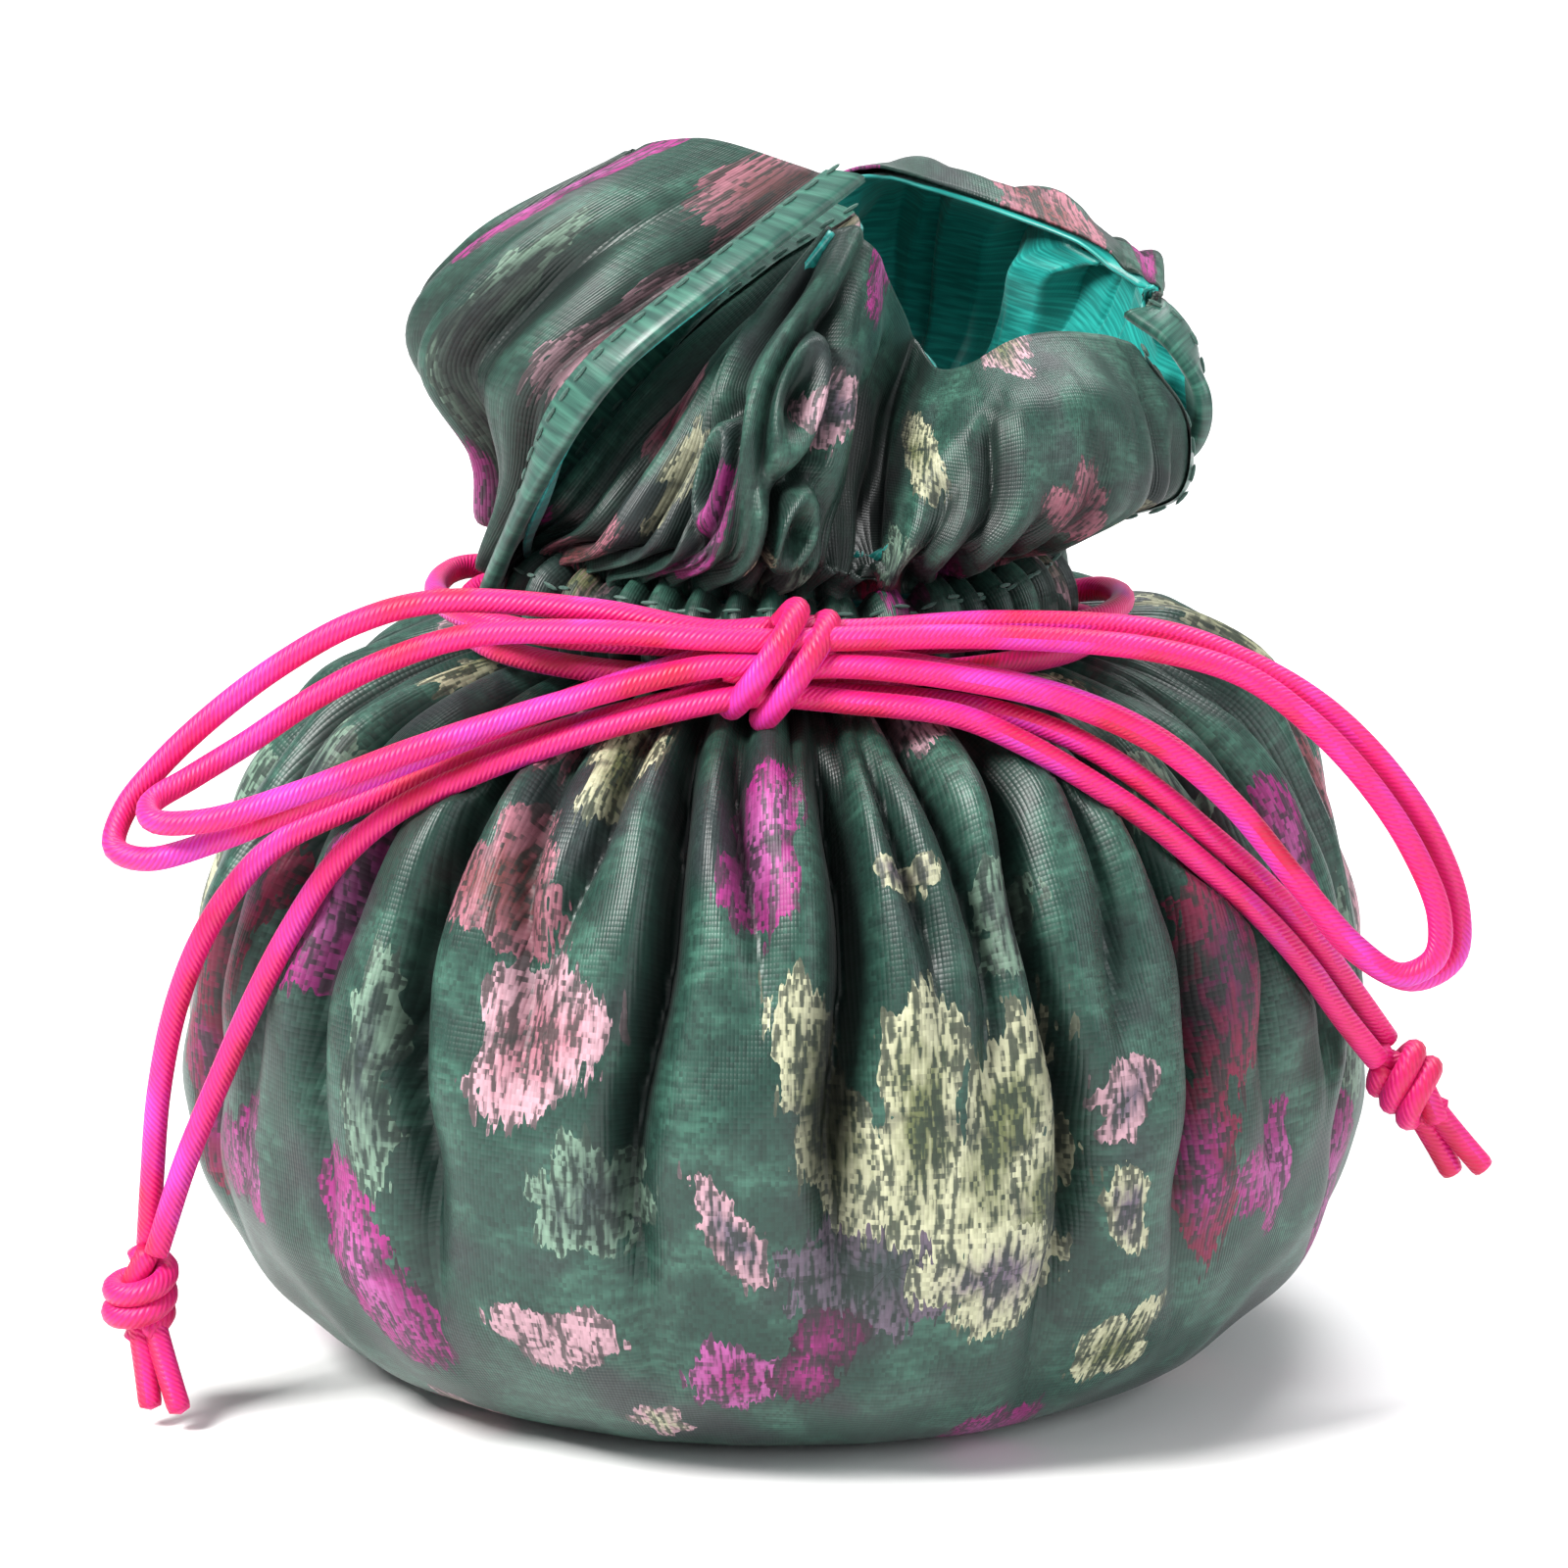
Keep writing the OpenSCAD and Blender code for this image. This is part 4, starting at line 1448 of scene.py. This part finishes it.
@dataclass
class Sack:
    """Outer cloth and lining of the body, and the neck casing."""

    wardrobe: Wardrobe
    form: SackForm
    bed: CordBed
    columns: int = 300

    def build(self) -> None:
        """Makes the body's cloth, its lining, the casing and the base."""
        for side, start in (("front", 180.0), ("back", 0.0)):
            self._layer(f"{side}_cloth", f"{side}_panel", start, self.form.body, Layer.OUTER)
            self._layer(f"{side}_casing_cloth", f"casing_{side}", start, self.form.casing, Layer.OUTER,
                        slit_deg=9.0)
            self._layer(f"{side}_lining_cloth", f"lining_{side}", start, self.form.lining, Layer.LINING)
        for side, middle in (("left", 180.0), ("right", 0.0)):
            self._allowance(side, middle)
        self._base()

    def _layer(self, name: str, node: str, start_deg: float, outline: Outline, layer: Layer,
               slit_deg: float = 0.0) -> None:
        """Makes half of one layer.

        Args:
            name: The piece's name.
            node: The CAD node that it stands for.
            start_deg: Angle at which the half starts.
            outline: The layer's section.
            layer: Outer cloth or lining.
            slit_deg: Angle left open at each end of the half.
        """
        outer = layer is Layer.OUTER
        columns = self.columns if outer else self.columns // 2
        step = 0.62 if outer else 1.1
        theta = np.radians(np.linspace(start_deg + slit_deg, start_deg + 180 - slit_deg, columns + 1))
        along = np.linspace(0.0, outline.total, max(8, int(outline.total / step)) + 1)
        grid_t, grid_a = np.meshgrid(theta, along)
        places = self.form.surface(grid_t, grid_a, outline, pleated=outer)
        if outline is self.form.body:
            places = self.bed.pressed(places)
        u = (np.degrees(grid_t) - 270) / 360 * FLAT_GIRTH
        first = self.form.body.total if outline is self.form.casing else 0.0
        cloth = np.stack([u, grid_a + first], axis=-1) * CLOTH_UNIT
        r, z, _, _ = outline.at(grid_a)
        piece = grid_cloth(name, places * MM, cloth, crease_shade=self.form.folds(grid_t, r, z, outer)[1])
        self._dress(piece, node, outer)

    def _dress(self, piece: bpy.types.Object, node: str, outer: bool) -> None:
        """Gives a piece its thickness, its finish and its body.

        Args:
            piece: The piece.
            node: The CAD node that it stands for.
            outer: Outer cloth, not lining.
        """
        add_thickness(piece)
        piece.data.materials.append(self.wardrobe.brocade if outer else self.wardrobe.lining)
        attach(piece, "root")
        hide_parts(node)

    def _allowance(self, side: str, middle_deg: float) -> None:
        """Makes the turned-in edges behind one side seam.

        Args:
            side: Left or right.
            middle_deg: The seam's angle.
        """
        theta = np.radians(np.linspace(middle_deg - 5.5, middle_deg + 5.5, 25))
        along = np.linspace(3.0, self.form.body.total - 6, 100)
        grid_t, grid_a = np.meshgrid(theta, along)
        places = self.form.surface(grid_t, grid_a, self.form.body, inset=0.8)
        cloth = np.stack([np.degrees(grid_t) * 0.87, grid_a], axis=-1) * CLOTH_UNIT
        piece = grid_cloth(f"{side}_seam_allowance", places * MM, cloth)
        self._dress(piece, f"{side}_side_seam", True)

    def _base(self) -> None:
        """Makes the round base in both layers."""
        for name, node, lift, layer in (("base_cloth", "base_panel", 0.35, Layer.OUTER),
                                        ("base_lining_cloth", "lining_base", 1.9, Layer.LINING)):
            radius = np.linspace(0.0, self.form.base_r + 0.6, 26)
            theta = np.linspace(0, 2 * math.pi, 121)
            grid_t, grid_r = np.meshgrid(theta, radius)
            dome = 0.3 * (1 - (grid_r / self.form.base_r) ** 2)
            ripple = 0.12 * np.sin(9 * grid_t) * (grid_r / self.form.base_r) ** 3
            across = grid_r * np.cos(grid_t)
            along = grid_r * np.sin(grid_t)
            places = np.stack([across, along, lift + dome + ripple], axis=-1)
            cloth = np.stack([across, along], axis=-1) * CLOTH_UNIT
            piece = grid_cloth(name, places * MM, cloth)
            merge_close(piece)
            self._dress(piece, node, layer is Layer.OUTER)


def merge_close(piece: bpy.types.Object, distance: float = 1e-6) -> None:
    """Merges vertices that share a place, such as a pole or a seam.

    Args:
        piece: The mesh to mend.
        distance: How close they must be, in metres.
    """
    mesh = bmesh.new()
    mesh.from_mesh(piece.data)
    bmesh.ops.remove_doubles(mesh, verts=mesh.verts, dist=distance)
    mesh.to_mesh(piece.data)
    mesh.free()


# ---------------------------------------------------------------------------------------------
# Heading
# ---------------------------------------------------------------------------------------------

BACK_FLAP = {
    0.0: [(24, 1, 76.5), (31, -2, 80), (37, -5, 84), (38, -6, 89), (35, -5, 93.5), (31, -3, 96)],
    0.1: [(23, 8, 76.5), (27, 8, 84), (31, 8, 91), (33.5, 6, 96.5), (34.5, 2, 98.5), (34, -2, 97)],
    0.22: [(17, 16, 76), (21, 18, 84), (24, 18, 92), (26, 15, 99), (28, 9, 102), (30, 3, 100)],
    0.35: [(9, 22, 76), (12, 24, 85), (13, 25, 95), (14, 22, 102), (14, 16, 105.5), (14, 10, 105)],
    0.45: [(2, 23.5, 76), (2, 25, 85), (1, 24, 94), (3, 20, 100), (4, 13, 104.5), (6, 6, 107)],
    0.55: [(-8, 23, 76), (-12, 22, 84), (-13, 19, 91), (-11, 14, 95.5), (-6, 7, 98), (-1, 1, 100)],
    0.68: [(-19, 14, 76), (-24, 11, 84), (-27, 7, 91), (-24, 3, 97), (-17, -2, 101), (-7, -4, 104)],
    0.77: [(-23, 7, 76), (-26, 2, 80), (-29, 0, 87), (-32.5, -1, 95.5), (-28, -4, 103), (-14, -7, 111)],
    0.85: [(-24, 4, 76), (-26.5, -3, 77), (-27, -6, 83.5), (-31.5, -7, 93), (-25, -9, 103), (-7, -9, 113)],
    0.93: [(-24, 1, 75.5), (-27, -7, 74.5), (-25, -11, 82.5), (-25, -14, 92), (-14, -15, 102), (2, -11, 111)],
    1.0: [(-24, -3, 74), (-26.5, -10, 71.5), (-22.5, -16, 81.5), (-14, -20, 95), (-4, -18, 103),
          (7, -13, 110.5)],
}
FRONT_FLAP = {
    0.0: [(-22, -5, 80), (-17, -4, 88), (-7, -3, 97), (5, 0, 105)],
    0.09: [(-19, -13, 80), (-13, -12, 88), (-4, -9, 97), (7, -3, 104.5)],
    0.18: [(-15, -20, 79), (-9, -18, 88), (-3, -14, 96), (6, -7, 102.5)],
    0.26: [(-10, -24, 79), (-8, -23, 86), (-5, -18, 95), (4, -9, 105)],
    0.33: [(-7, -26, 79), (-5.5, -26, 86), (-2.5, -22, 95), (5.5, -9, 105)],
    0.39: [(-3, -27, 79), (-1.5, -27, 86), (0.5, -23, 95), (7, -9, 105)],
    0.45: [(0, -26.5, 78.5), (2, -26, 85), (4, -22, 93), (8, -9, 103.5)],
    0.5: [(3, -25.5, 78), (4.5, -24, 84), (6, -19, 91), (9, -8, 101.5)],
    0.54: [(5.5, -24.5, 77), (6.5, -21, 82), (7.5, -15, 89), (10, -6, 98.5)],
    0.59: [(8, -23, 76.5), (8.5, -18, 81), (9.5, -11, 87), (12, -4, 94)],
    0.64: [(10.5, -26, 78), (12, -26, 82.5), (12.5, -20, 88), (14, -10, 92.5)],
    0.7: [(15, -26, 78.5), (18, -27, 83), (18, -23, 90.5), (17, -14, 94)],
    0.78: [(20.5, -23.5, 78.5), (24.5, -24.5, 83), (25, -20.5, 91.5), (21, -13, 96)],
    0.86: [(26, -18.5, 79), (31.5, -18.5, 82), (31.5, -15.5, 90), (28, -9.5, 95.5)],
    0.94: [(28.5, -12, 79), (35, -12.5, 81), (35.5, -10, 87), (32, -5, 93)],
    1.0: [(29, -6, 78.5), (35.5, -7, 81), (36, -6, 85.5), (32, -3, 91)],
}


ROSETTES = (
    (0.42, 0.56, 3.4, 4.6, 3.4), (0.31, 0.4, 2.4, 3.2, 2.8), (0.46, 0.26, 2.8, 3.0, 2.4),
)


@dataclass
class Flap:
    """One flap of the heading: a fan of cloth above the casing, drawn from a few places along its ribs.

    A rosette is a bunched whorl of cloth: its place across and up the flap, its half sizes and depth in mm.
    Sizes are in mm; cloth_at is where the middle of the flap's root lies on the flat cloth.
    """

    side: str
    start_deg: float
    ribs: dict[float, list[Point]]
    form: SackForm
    flat: tuple[float, float]
    seed: int
    fold_depth: tuple[float, float]
    rosettes: tuple = ()
    cloth_at: tuple[float, float] = (0.0, 0.0)
    columns: int = 320
    rows: int = 72
    height: float = 45.0
    root_r: float = 22.2
    fold_span: float = 95.0
    whorl_rise: float = 30.0
    lining_gap: float = 0.75
    lining_root_r: float = 20.6
    inner: np.ndarray = field(init=False, repr=False)
    crease_shade: np.ndarray = field(init=False, repr=False)
    edges: list[np.ndarray] = field(init=False, default_factory=list, repr=False)

    def build(self, wardrobe: Wardrobe) -> None:
        """Makes the flap's outer cloth, its lining and the bindings on its side edges.

        Args:
            wardrobe: The finishes.
        """
        places, cloth = self._surface()
        out = outward(places)
        outer = grid_cloth(f"heading_{self.side}_cloth", places * MM, cloth, crease_shade=self.crease_shade)
        lining = grid_cloth(f"heading_{self.side}_lining_cloth", self.inner * MM, cloth)
        bindings = [self._binding(places, out, end) for end in ("first", "last")]
        for piece, material, slot in (
            (outer, wardrobe.brocade, "brocade"), (lining, wardrobe.lining, "lining_satin"),
            *((binding, wardrobe.binding, "lining_satin") for binding in bindings),
        ):
            if piece not in bindings:
                add_thickness(piece)
            piece.data.materials.append(material)
            self.follow(piece)
        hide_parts(f"heading_{self.side}")
        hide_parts(f"heading_lining_{self.side}")

    def follow(self, piece: bpy.types.Object) -> None:
        """Bakes a piece's placement into its mesh, leaving it at the origin.

        Args:
            piece: The piece.
        """
        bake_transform(piece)

    def _surface(self) -> tuple[np.ndarray, np.ndarray]:
        """Draws the flap with its folds, and remembers the painted shade in its creases and where its lining
        lies.

        Returns:
            The flap's places in mm, and its flat cloth positions.
        """
        wanted = np.linspace(0, 1, self.columns + 1)
        up = np.linspace(0, 1, self.rows + 1)[:, None]
        theta = np.radians(self.start_deg + 180 * wanted)[None, :]
        fan = self._fan(wanted)
        out = outward(fan)
        lift, crease_shade = self._whorls(*self._folds(theta, up, wanted), up, wanted)
        level, radial = (np.hypot(side[..., 0], side[..., 1]) for side in (out, fan))
        facing = np.sum(out[..., :2] * fan[..., :2], axis=-1) / ((level + 0.05) * radial)
        edge = smooth_step(0.0, 0.05, wanted) * smooth_step(0.0, 0.05, 1 - wanted)
        calm = edge[None, :] * smooth_step(0.1, 0.6, facing)
        lift = lift * (0.15 + 0.85 * calm) * (1 - 0.6 * smooth_step(0.82, 1.0, up))
        places = fan + out * lift[..., None]
        behind = fan + out * (least_near(lift, 7) - self.lining_gap)[..., None]
        self.inner = self._gathered_in(behind, places, theta, up)
        self.crease_shade = crease_shade * (0.2 + 0.8 * calm)
        u = (np.degrees(theta) - 270) / 360 * FLAT_GIRTH + self.cloth_at[0] + 0 * up
        v = up * self.height + self.cloth_at[1] + 0 * theta
        return places, np.stack([u, v], axis=-1) * CLOTH_UNIT

    def _fan(self, wanted: np.ndarray) -> np.ndarray:
        """Spans smooth cloth over the ribs.

        Args:
            wanted: Share of the width at each column.

        Returns:
            Places in mm, rows by columns.
        """
        shares = np.array(sorted(self.ribs))
        foot = (0, 0, self.form.casing_top_z - 0.6)
        net = []
        for share in shares:
            angle = math.radians(self.start_deg + 180 * share)
            root = self.root_r * np.array([math.cos(angle), math.sin(angle), 0.0]) + foot
            above = root * (1.02, 1.02, 1.0) + (0, 0, 1.3)
            net.append(smooth_through(np.vstack([root, above, np.array(self.ribs[share], float)]), 16))
        net = np.array(net)
        fine = np.stack([through_shares(shares, net[:, j], wanted) for j in range(net.shape[1])])
        even = [even_count(fine[:, i], self.rows + 1) for i in range(fine.shape[1])]
        return np.stack(even, axis=1)

    def _folds(self, theta: np.ndarray, up: np.ndarray, wanted: np.ndarray) -> tuple:
        """Works out the small pleats at the root, the long folds and the crumples.

        Args:
            theta: Root angle at each column.
            up: Share of the height at each row.
            wanted: Share of the width at each column.

        Returns:
            Lift in mm, and painted shade for how far into a fold each place lies, from 0 to about 1.
        """
        pleat = np.abs(np.cos(self.form.phase(theta) / 2)) ** 0.9
        rise = np.exp(-up * 3.0) * smooth_step(0.0, 0.04, up + 0.02)
        lift = 1.2 * (2 * pleat - 1.15) * rise
        # Painted shade share, strongest between the small pleats at the root.
        crease_shade = (1 - pleat) ** 2 * rise
        rng = np.random.default_rng(self.seed)
        place = 0.03
        while place < 0.98:
            reach = rng.uniform(0.5, 1.7)
            depth = rng.uniform(*self.fold_depth)
            middle = place + rng.uniform(-0.05, 0.05) * up
            off = (wanted[None, :] - middle) * self.fold_span
            width = 0.9 + 0.35 * depth * (0.5 + 0.6 * up)
            fade = smooth_step(0.0, 0.18, up) * (1 - smooth_step(0.5 * reach, reach, up))
            cusp = np.exp(-(np.sqrt((off / width) ** 2 + 0.02) - 0.14))
            lift = lift - depth * fade * (cusp - 0.3 * np.exp(-((off / width / 3) ** 2)))
            crease_shade = crease_shade + depth / 3.6 * fade * np.exp(-((off / width) ** 2))
            place += rng.uniform(0.04, 0.075)
        crumple = 0.5 * np.sin(11 * theta + 7 * up) * np.sin(9 * up + 3 * np.sin(4 * theta))
        return lift + crumple * smooth_step(0.1, 0.4, up), crease_shade

    def _whorls(self, lift: np.ndarray, crease_shade: np.ndarray, up: np.ndarray, wanted: np.ndarray) -> tuple:
        """Bunches the cloth into its rosettes.

        Args:
            lift: Lift in mm.
            crease_shade: Painted shade for how far into a fold each place lies.
            up: Share of the height at each row.
            wanted: Share of the width at each column.

        Returns:
            The lift and the creases, with the rosettes in place.
        """
        for at, height, wide, tall, depth in self.rosettes:
            aside = (wanted[None, :] - at) * self.fold_span / wide
            round_it = np.hypot(aside, (up - height) * self.whorl_rise / tall)
            groove = np.exp(-((round_it / 0.5) ** 2)) + 0.55 * np.exp(-(((round_it - 1.3) / 0.3) ** 2))
            ridge = 0.7 * np.exp(-(((round_it - 0.85) / 0.3) ** 2))
            around = smooth_step(0.9, 1.6, round_it)
            lift = lift * around - depth * groove + ridge
            crease_shade = crease_shade * around + groove
        return lift, crease_shade

    def _gathered_in(self, behind: np.ndarray, places: np.ndarray, theta: np.ndarray,
                     up: np.ndarray) -> np.ndarray:
        """Draws the lining in to the casing at its root, inside every pleat near it.

        Args:
            behind: Places a little behind the outer cloth, in mm.
            places: The outer cloth's places in mm.
            theta: Root angle at each column.
            up: Share of the height at each row.

        Returns:
            The lining's places in mm.
        """
        least = least_near(np.hypot(places[..., 0], places[..., 1]), 14)
        root_r = np.minimum(self.lining_root_r, least - 1.8)
        at_root = np.stack([root_r * np.cos(theta), root_r * np.sin(theta), places[..., 2]], axis=-1)
        free = smooth_step(0.1, 0.38, up)[..., None]
        return at_root * (1 - free) + behind * free

    def _binding(self, places: np.ndarray, out: np.ndarray, end: str) -> bpy.types.Object:
        """Wraps a satin strip over one side edge of the flap.

        Args:
            places: The flap's points in mm.
            out: Its outward directions.
            end: The first or the last side edge.

        Returns:
            The strip.
        """
        step = 1 if end == "first" else -1
        strip = places[2:, ::step][:, :24]
        face = out[2:, ::step][:, :24]
        rows = []
        for line, side in zip(strip, face):
            run = np.concatenate([[0.0], np.cumsum(np.linalg.norm(np.diff(line, axis=0), axis=1))])
            away = line[0] - line[2]
            away /= max(np.linalg.norm(away), 1e-9)
            profile = []
            for depth in (3.2, 2.4, 1.6, 0.8, 0.1):
                point = [np.interp(depth, run, line[:, k]) for k in range(3)]
                normal = [np.interp(depth, run, side[:, k]) for k in range(3)]
                profile.append((np.array(point), np.array(normal)))
            outer = [p + 0.32 * n for p, n in profile]
            turn = [line[0] + 0.45 * away + 0.1 * side[0], line[0] + 0.45 * away - 0.75 * side[0]]
            inner = [p - 1.2 * n for p, n in reversed(profile)]
            rows.append(np.array(outer + turn + inner))
        grid = np.array(rows)
        self.edges.append(grid[:, 1] + 0.12 * face[:, 4])
        along = np.arange(grid.shape[0])[:, None] * 0.006 + np.zeros(grid.shape[:2])
        across = np.arange(grid.shape[1])[None, :] * 0.008 + np.zeros(grid.shape[:2])
        name = f"heading_{self.side}_{end}_binding"
        return grid_cloth(name, grid * MM, np.stack([across, along], axis=-1), flip=end == "first")


def least_near(values: np.ndarray, reach: int) -> np.ndarray:
    """Takes the least value within some columns of each place.

    Args:
        values: A grid of numbers.
        reach: How many columns to look to each side.

    Returns:
        The least values.
    """
    padded = np.pad(values, ((0, 0), (reach, reach)), mode="edge")
    return np.min([padded[:, k:k + values.shape[1]] for k in range(2 * reach + 1)], axis=0)


def outward(places: np.ndarray) -> np.ndarray:
    """Returns the outward direction at each point of a grid of cloth."""
    out = np.cross(np.gradient(places, axis=1), np.gradient(places, axis=0))
    return out / np.maximum(np.linalg.norm(out, axis=2), 1e-12)[..., None]


def even_count(path: np.ndarray, count: int) -> np.ndarray:
    """Spaces a path's points evenly.

    Args:
        path: Points along the path.
        count: How many points to return.

    Returns:
        The evenly spaced points.
    """
    lengths = np.concatenate([[0.0], np.cumsum(np.linalg.norm(np.diff(path, axis=0), axis=1))])
    wanted = np.linspace(0, lengths[-1], count)
    return np.stack([np.interp(wanted, lengths, path[:, k]) for k in range(path.shape[1])], axis=1)


def through_shares(shares: np.ndarray, points: np.ndarray, wanted: np.ndarray) -> np.ndarray:
    """Runs a smooth curve through points that each lie at a given share of the width.

    Args:
        shares: The share of each point, rising.
        points: The points.
        wanted: Shares at which to sample.

    Returns:
        The samples.
    """
    fine = smooth_through(points, 30)
    fine_share = np.interp(np.arange(len(fine)) / 30, np.arange(len(shares)), shares)
    return np.stack([np.interp(wanted, fine_share, fine[:, k]) for k in range(3)], axis=1)


# ---------------------------------------------------------------------------------------------
# Stitches
# ---------------------------------------------------------------------------------------------


@dataclass
class StitchTree:
    """Geometry nodes that lay short stitches along a line of edges."""

    seed: int = 5
    tree: bpy.types.NodeTree = field(init=False)

    def __post_init__(self) -> None:
        """Builds the node tree."""
        tree = bpy.data.node_groups.new("stitches", "GeometryNodeTree")
        face = tree.interface
        self.sockets = {}
        face.new_socket("Geometry", in_out="INPUT", socket_type="NodeSocketGeometry")
        for name, kind in (("Spacing", "Float"), ("Stitch Length", "Float"), ("Thread Radius", "Float"),
                           ("Seed", "Int"), ("Thread", "Material")):
            socket = face.new_socket(name, in_out="INPUT", socket_type="NodeSocket" + kind)
            self.sockets[name] = socket.identifier
        face.new_socket("Geometry", in_out="OUTPUT", socket_type="NodeSocketGeometry")
        self.tree = tree
        self._fill()

    def _node(self, kind: str, **inputs: object) -> bpy.types.Node:
        """Adds a node, then links or sets its inputs by name.

        Args:
            kind: The node's full type name.
            inputs: Inputs by name, with underscores for spaces.

        Returns:
            The node.
        """
        node = self.tree.nodes.new(kind)
        for name, value in inputs.items():
            socket = node.inputs[name.replace("_", " ")]
            if isinstance(value, bpy.types.NodeSocket):
                self.tree.links.new(value, socket)
            else:
                socket.default_value = value
        return node

    def _fill(self) -> None:
        """Adds and joins the nodes."""
        start = self.tree.nodes.new("NodeGroupInput").outputs
        line = self._node("GeometryNodeMeshToCurve", Mesh=start["Geometry"])
        resampled = self.tree.nodes.new("GeometryNodeResampleCurve")
        choose_length(resampled)
        self.tree.links.new(line.outputs[0], resampled.inputs["Curve"])
        self.tree.links.new(start["Spacing"], resampled.inputs["Length"])
        bead = self._node("GeometryNodeMeshUVSphere", Segments=6, Rings=4, Radius=1.0)
        tangent = self.tree.nodes.new("GeometryNodeInputTangent")
        aligned = self.tree.nodes.new("FunctionNodeAlignRotationToVector")
        aligned.axis = "Z"
        self.tree.links.new(tangent.outputs[0], aligned.inputs["Vector"])
        jitter = self.tree.nodes.new("FunctionNodeRandomValue")
        jitter.data_type = "FLOAT"
        floats = [s for s in jitter.inputs if s.type == "VALUE"]
        floats[0].default_value = 0.85
        floats[1].default_value = 1.15
        self.tree.links.new(start["Seed"], jitter.inputs["Seed"])
        longer = self._node("ShaderNodeMath")
        longer.operation = "MULTIPLY"
        self.tree.links.new(start["Stitch Length"], longer.inputs[0])
        self.tree.links.new([s for s in jitter.outputs if s.type == "VALUE"][0], longer.inputs[1])
        size = self._node("ShaderNodeCombineXYZ", X=start["Thread Radius"], Y=start["Thread Radius"],
                          Z=longer.outputs[0])
        laid = self._node("GeometryNodeInstanceOnPoints", Points=resampled.outputs[0],
                          Instance=bead.outputs[0], Rotation=aligned.outputs[0], Scale=size.outputs[0])
        real = self._node("GeometryNodeRealizeInstances", Geometry=laid.outputs[0])
        dressed = self._node("GeometryNodeSetMaterial", Geometry=real.outputs[0], Material=start["Thread"])
        end = self.tree.nodes.new("NodeGroupOutput")
        self.tree.links.new(dressed.outputs[0], end.inputs[0])

    def sew(self, name: str, lines: list[np.ndarray], thread: bpy.types.Material) -> bpy.types.Object:
        """Lays stitches along lines.

        Args:
            name: The piece's name.
            lines: Each line's points in mm.
            thread: The thread's finish.

        Returns:
            The stitches as one mesh.
        """
        vertices = np.vstack(lines) * MM
        edges = []
        first = 0
        for line in lines:
            edges += [(first + k, first + k + 1) for k in range(len(line) - 1)]
            first += len(line)
        mesh = bpy.data.meshes.new(name)
        mesh.from_pydata([tuple(v) for v in vertices], edges, [])
        guide = bpy.data.objects.new(name + "_guide", mesh)
        bpy.context.scene.collection.objects.link(guide)
        layer = guide.modifiers.new("stitches", "NODES")
        layer.node_group = self.tree
        for socket, value in (("Spacing", 0.0024), ("Stitch Length", 0.00085), ("Thread Radius", 0.0002),
                              ("Seed", self.seed), ("Thread", thread)):
            layer[self.sockets[socket]] = value
        graph = bpy.context.evaluated_depsgraph_get()
        sewn = bpy.data.meshes.new_from_object(guide.evaluated_get(graph))
        bpy.data.objects.remove(guide)
        piece = bpy.data.objects.new(name, sewn)
        bpy.context.scene.collection.objects.link(piece)
        return piece


def choose_length(node: bpy.types.Node) -> None:
    """Makes a Resample Curve node work by length.

    Args:
        node: The node.
    """
    if hasattr(node, "mode"):
        node.mode = "LENGTH"
    else:
        node.inputs["Mode"].default_value = "Length"


def casing_stitches(form: SackForm, wardrobe: Wardrobe, trees: StitchTree) -> None:
    """Sews the two rows round the casing.

    Args:
        form: The sack's form.
        wardrobe: The finishes.
        trees: The stitches' nodes.
    """
    rows = {"casing_stitch_lower": form.neck_z + 0.9, "casing_stitch_upper": form.neck_z + 7.4}
    for name, height in rows.items():
        lines = []
        along = float(np.interp(height, form.casing.line[:, 1], form.casing.lengths))
        for start in (190.5, 10.5):
            theta = np.radians(np.linspace(start, start + 159, 420))
            lines.append(form.surface(theta, np.full_like(theta, along), form.casing, inset=-0.12))
        piece = trees.sew(name + "_thread", lines, wardrobe.thread)
        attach(piece, "root")
        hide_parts(name)


# ---------------------------------------------------------------------------------------------
# Assembly
# ---------------------------------------------------------------------------------------------


def dress_hidden(wardrobe: Wardrobe) -> None:
    """Dresses the CAD pieces that stay as they are: the base's seam and the cords in the casing.

    Args:
        wardrobe: The finishes.
    """
    finishes = {
        "base_seam": wardrobe.brocade, "left_drawcord": wardrobe.cord, "right_drawcord": wardrobe.cord,
    }
    for node, material in finishes.items():
        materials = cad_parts[node].data.materials
        materials.clear()
        materials.append(material)


def main() -> None:
    """Builds the studio, the bow, the sack and its heading."""
    logging.basicConfig(level=logging.INFO, format="%(message)s")
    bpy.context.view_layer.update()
    Studio().build()
    wardrobe = Wardrobe()
    bow = Bow(wardrobe)
    bow.build()
    _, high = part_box("front_panel")
    form = SackForm(
        base_r=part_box("base_panel")[1].x / MM - 2.0,
        sack_r=high.x / MM,
        neck_z=high.z / MM,
        casing_top_z=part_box("casing_front")[1].z / MM + 0.9,
    )
    Sack(wardrobe, form, CordBed(bow.paths)).build()
    LOG.info("body, casing and lining")
    flaps = (
        Flap("back", 0.0, BACK_FLAP, form, (0.157, 0.045), 4, (1.6, 4.0), (), (61.0, 22.8)),
        Flap("front", 180.0, FRONT_FLAP, form, (0.12, 0.036), 8, (2.6, 5.4), ROSETTES, (25.0, 60.0)),
    )
    for flap in flaps:
        flap.build(wardrobe)
        LOG.info("heading %s", flap.side)
    trees = StitchTree()
    casing_stitches(form, wardrobe, trees)
    for flap in flaps:
        row = trees.sew(f"heading_{flap.side}_binding_thread", flap.edges, wardrobe.thread)
        flap.follow(row)
    dress_hidden(wardrobe)


if __name__ == "__main__":
    main()
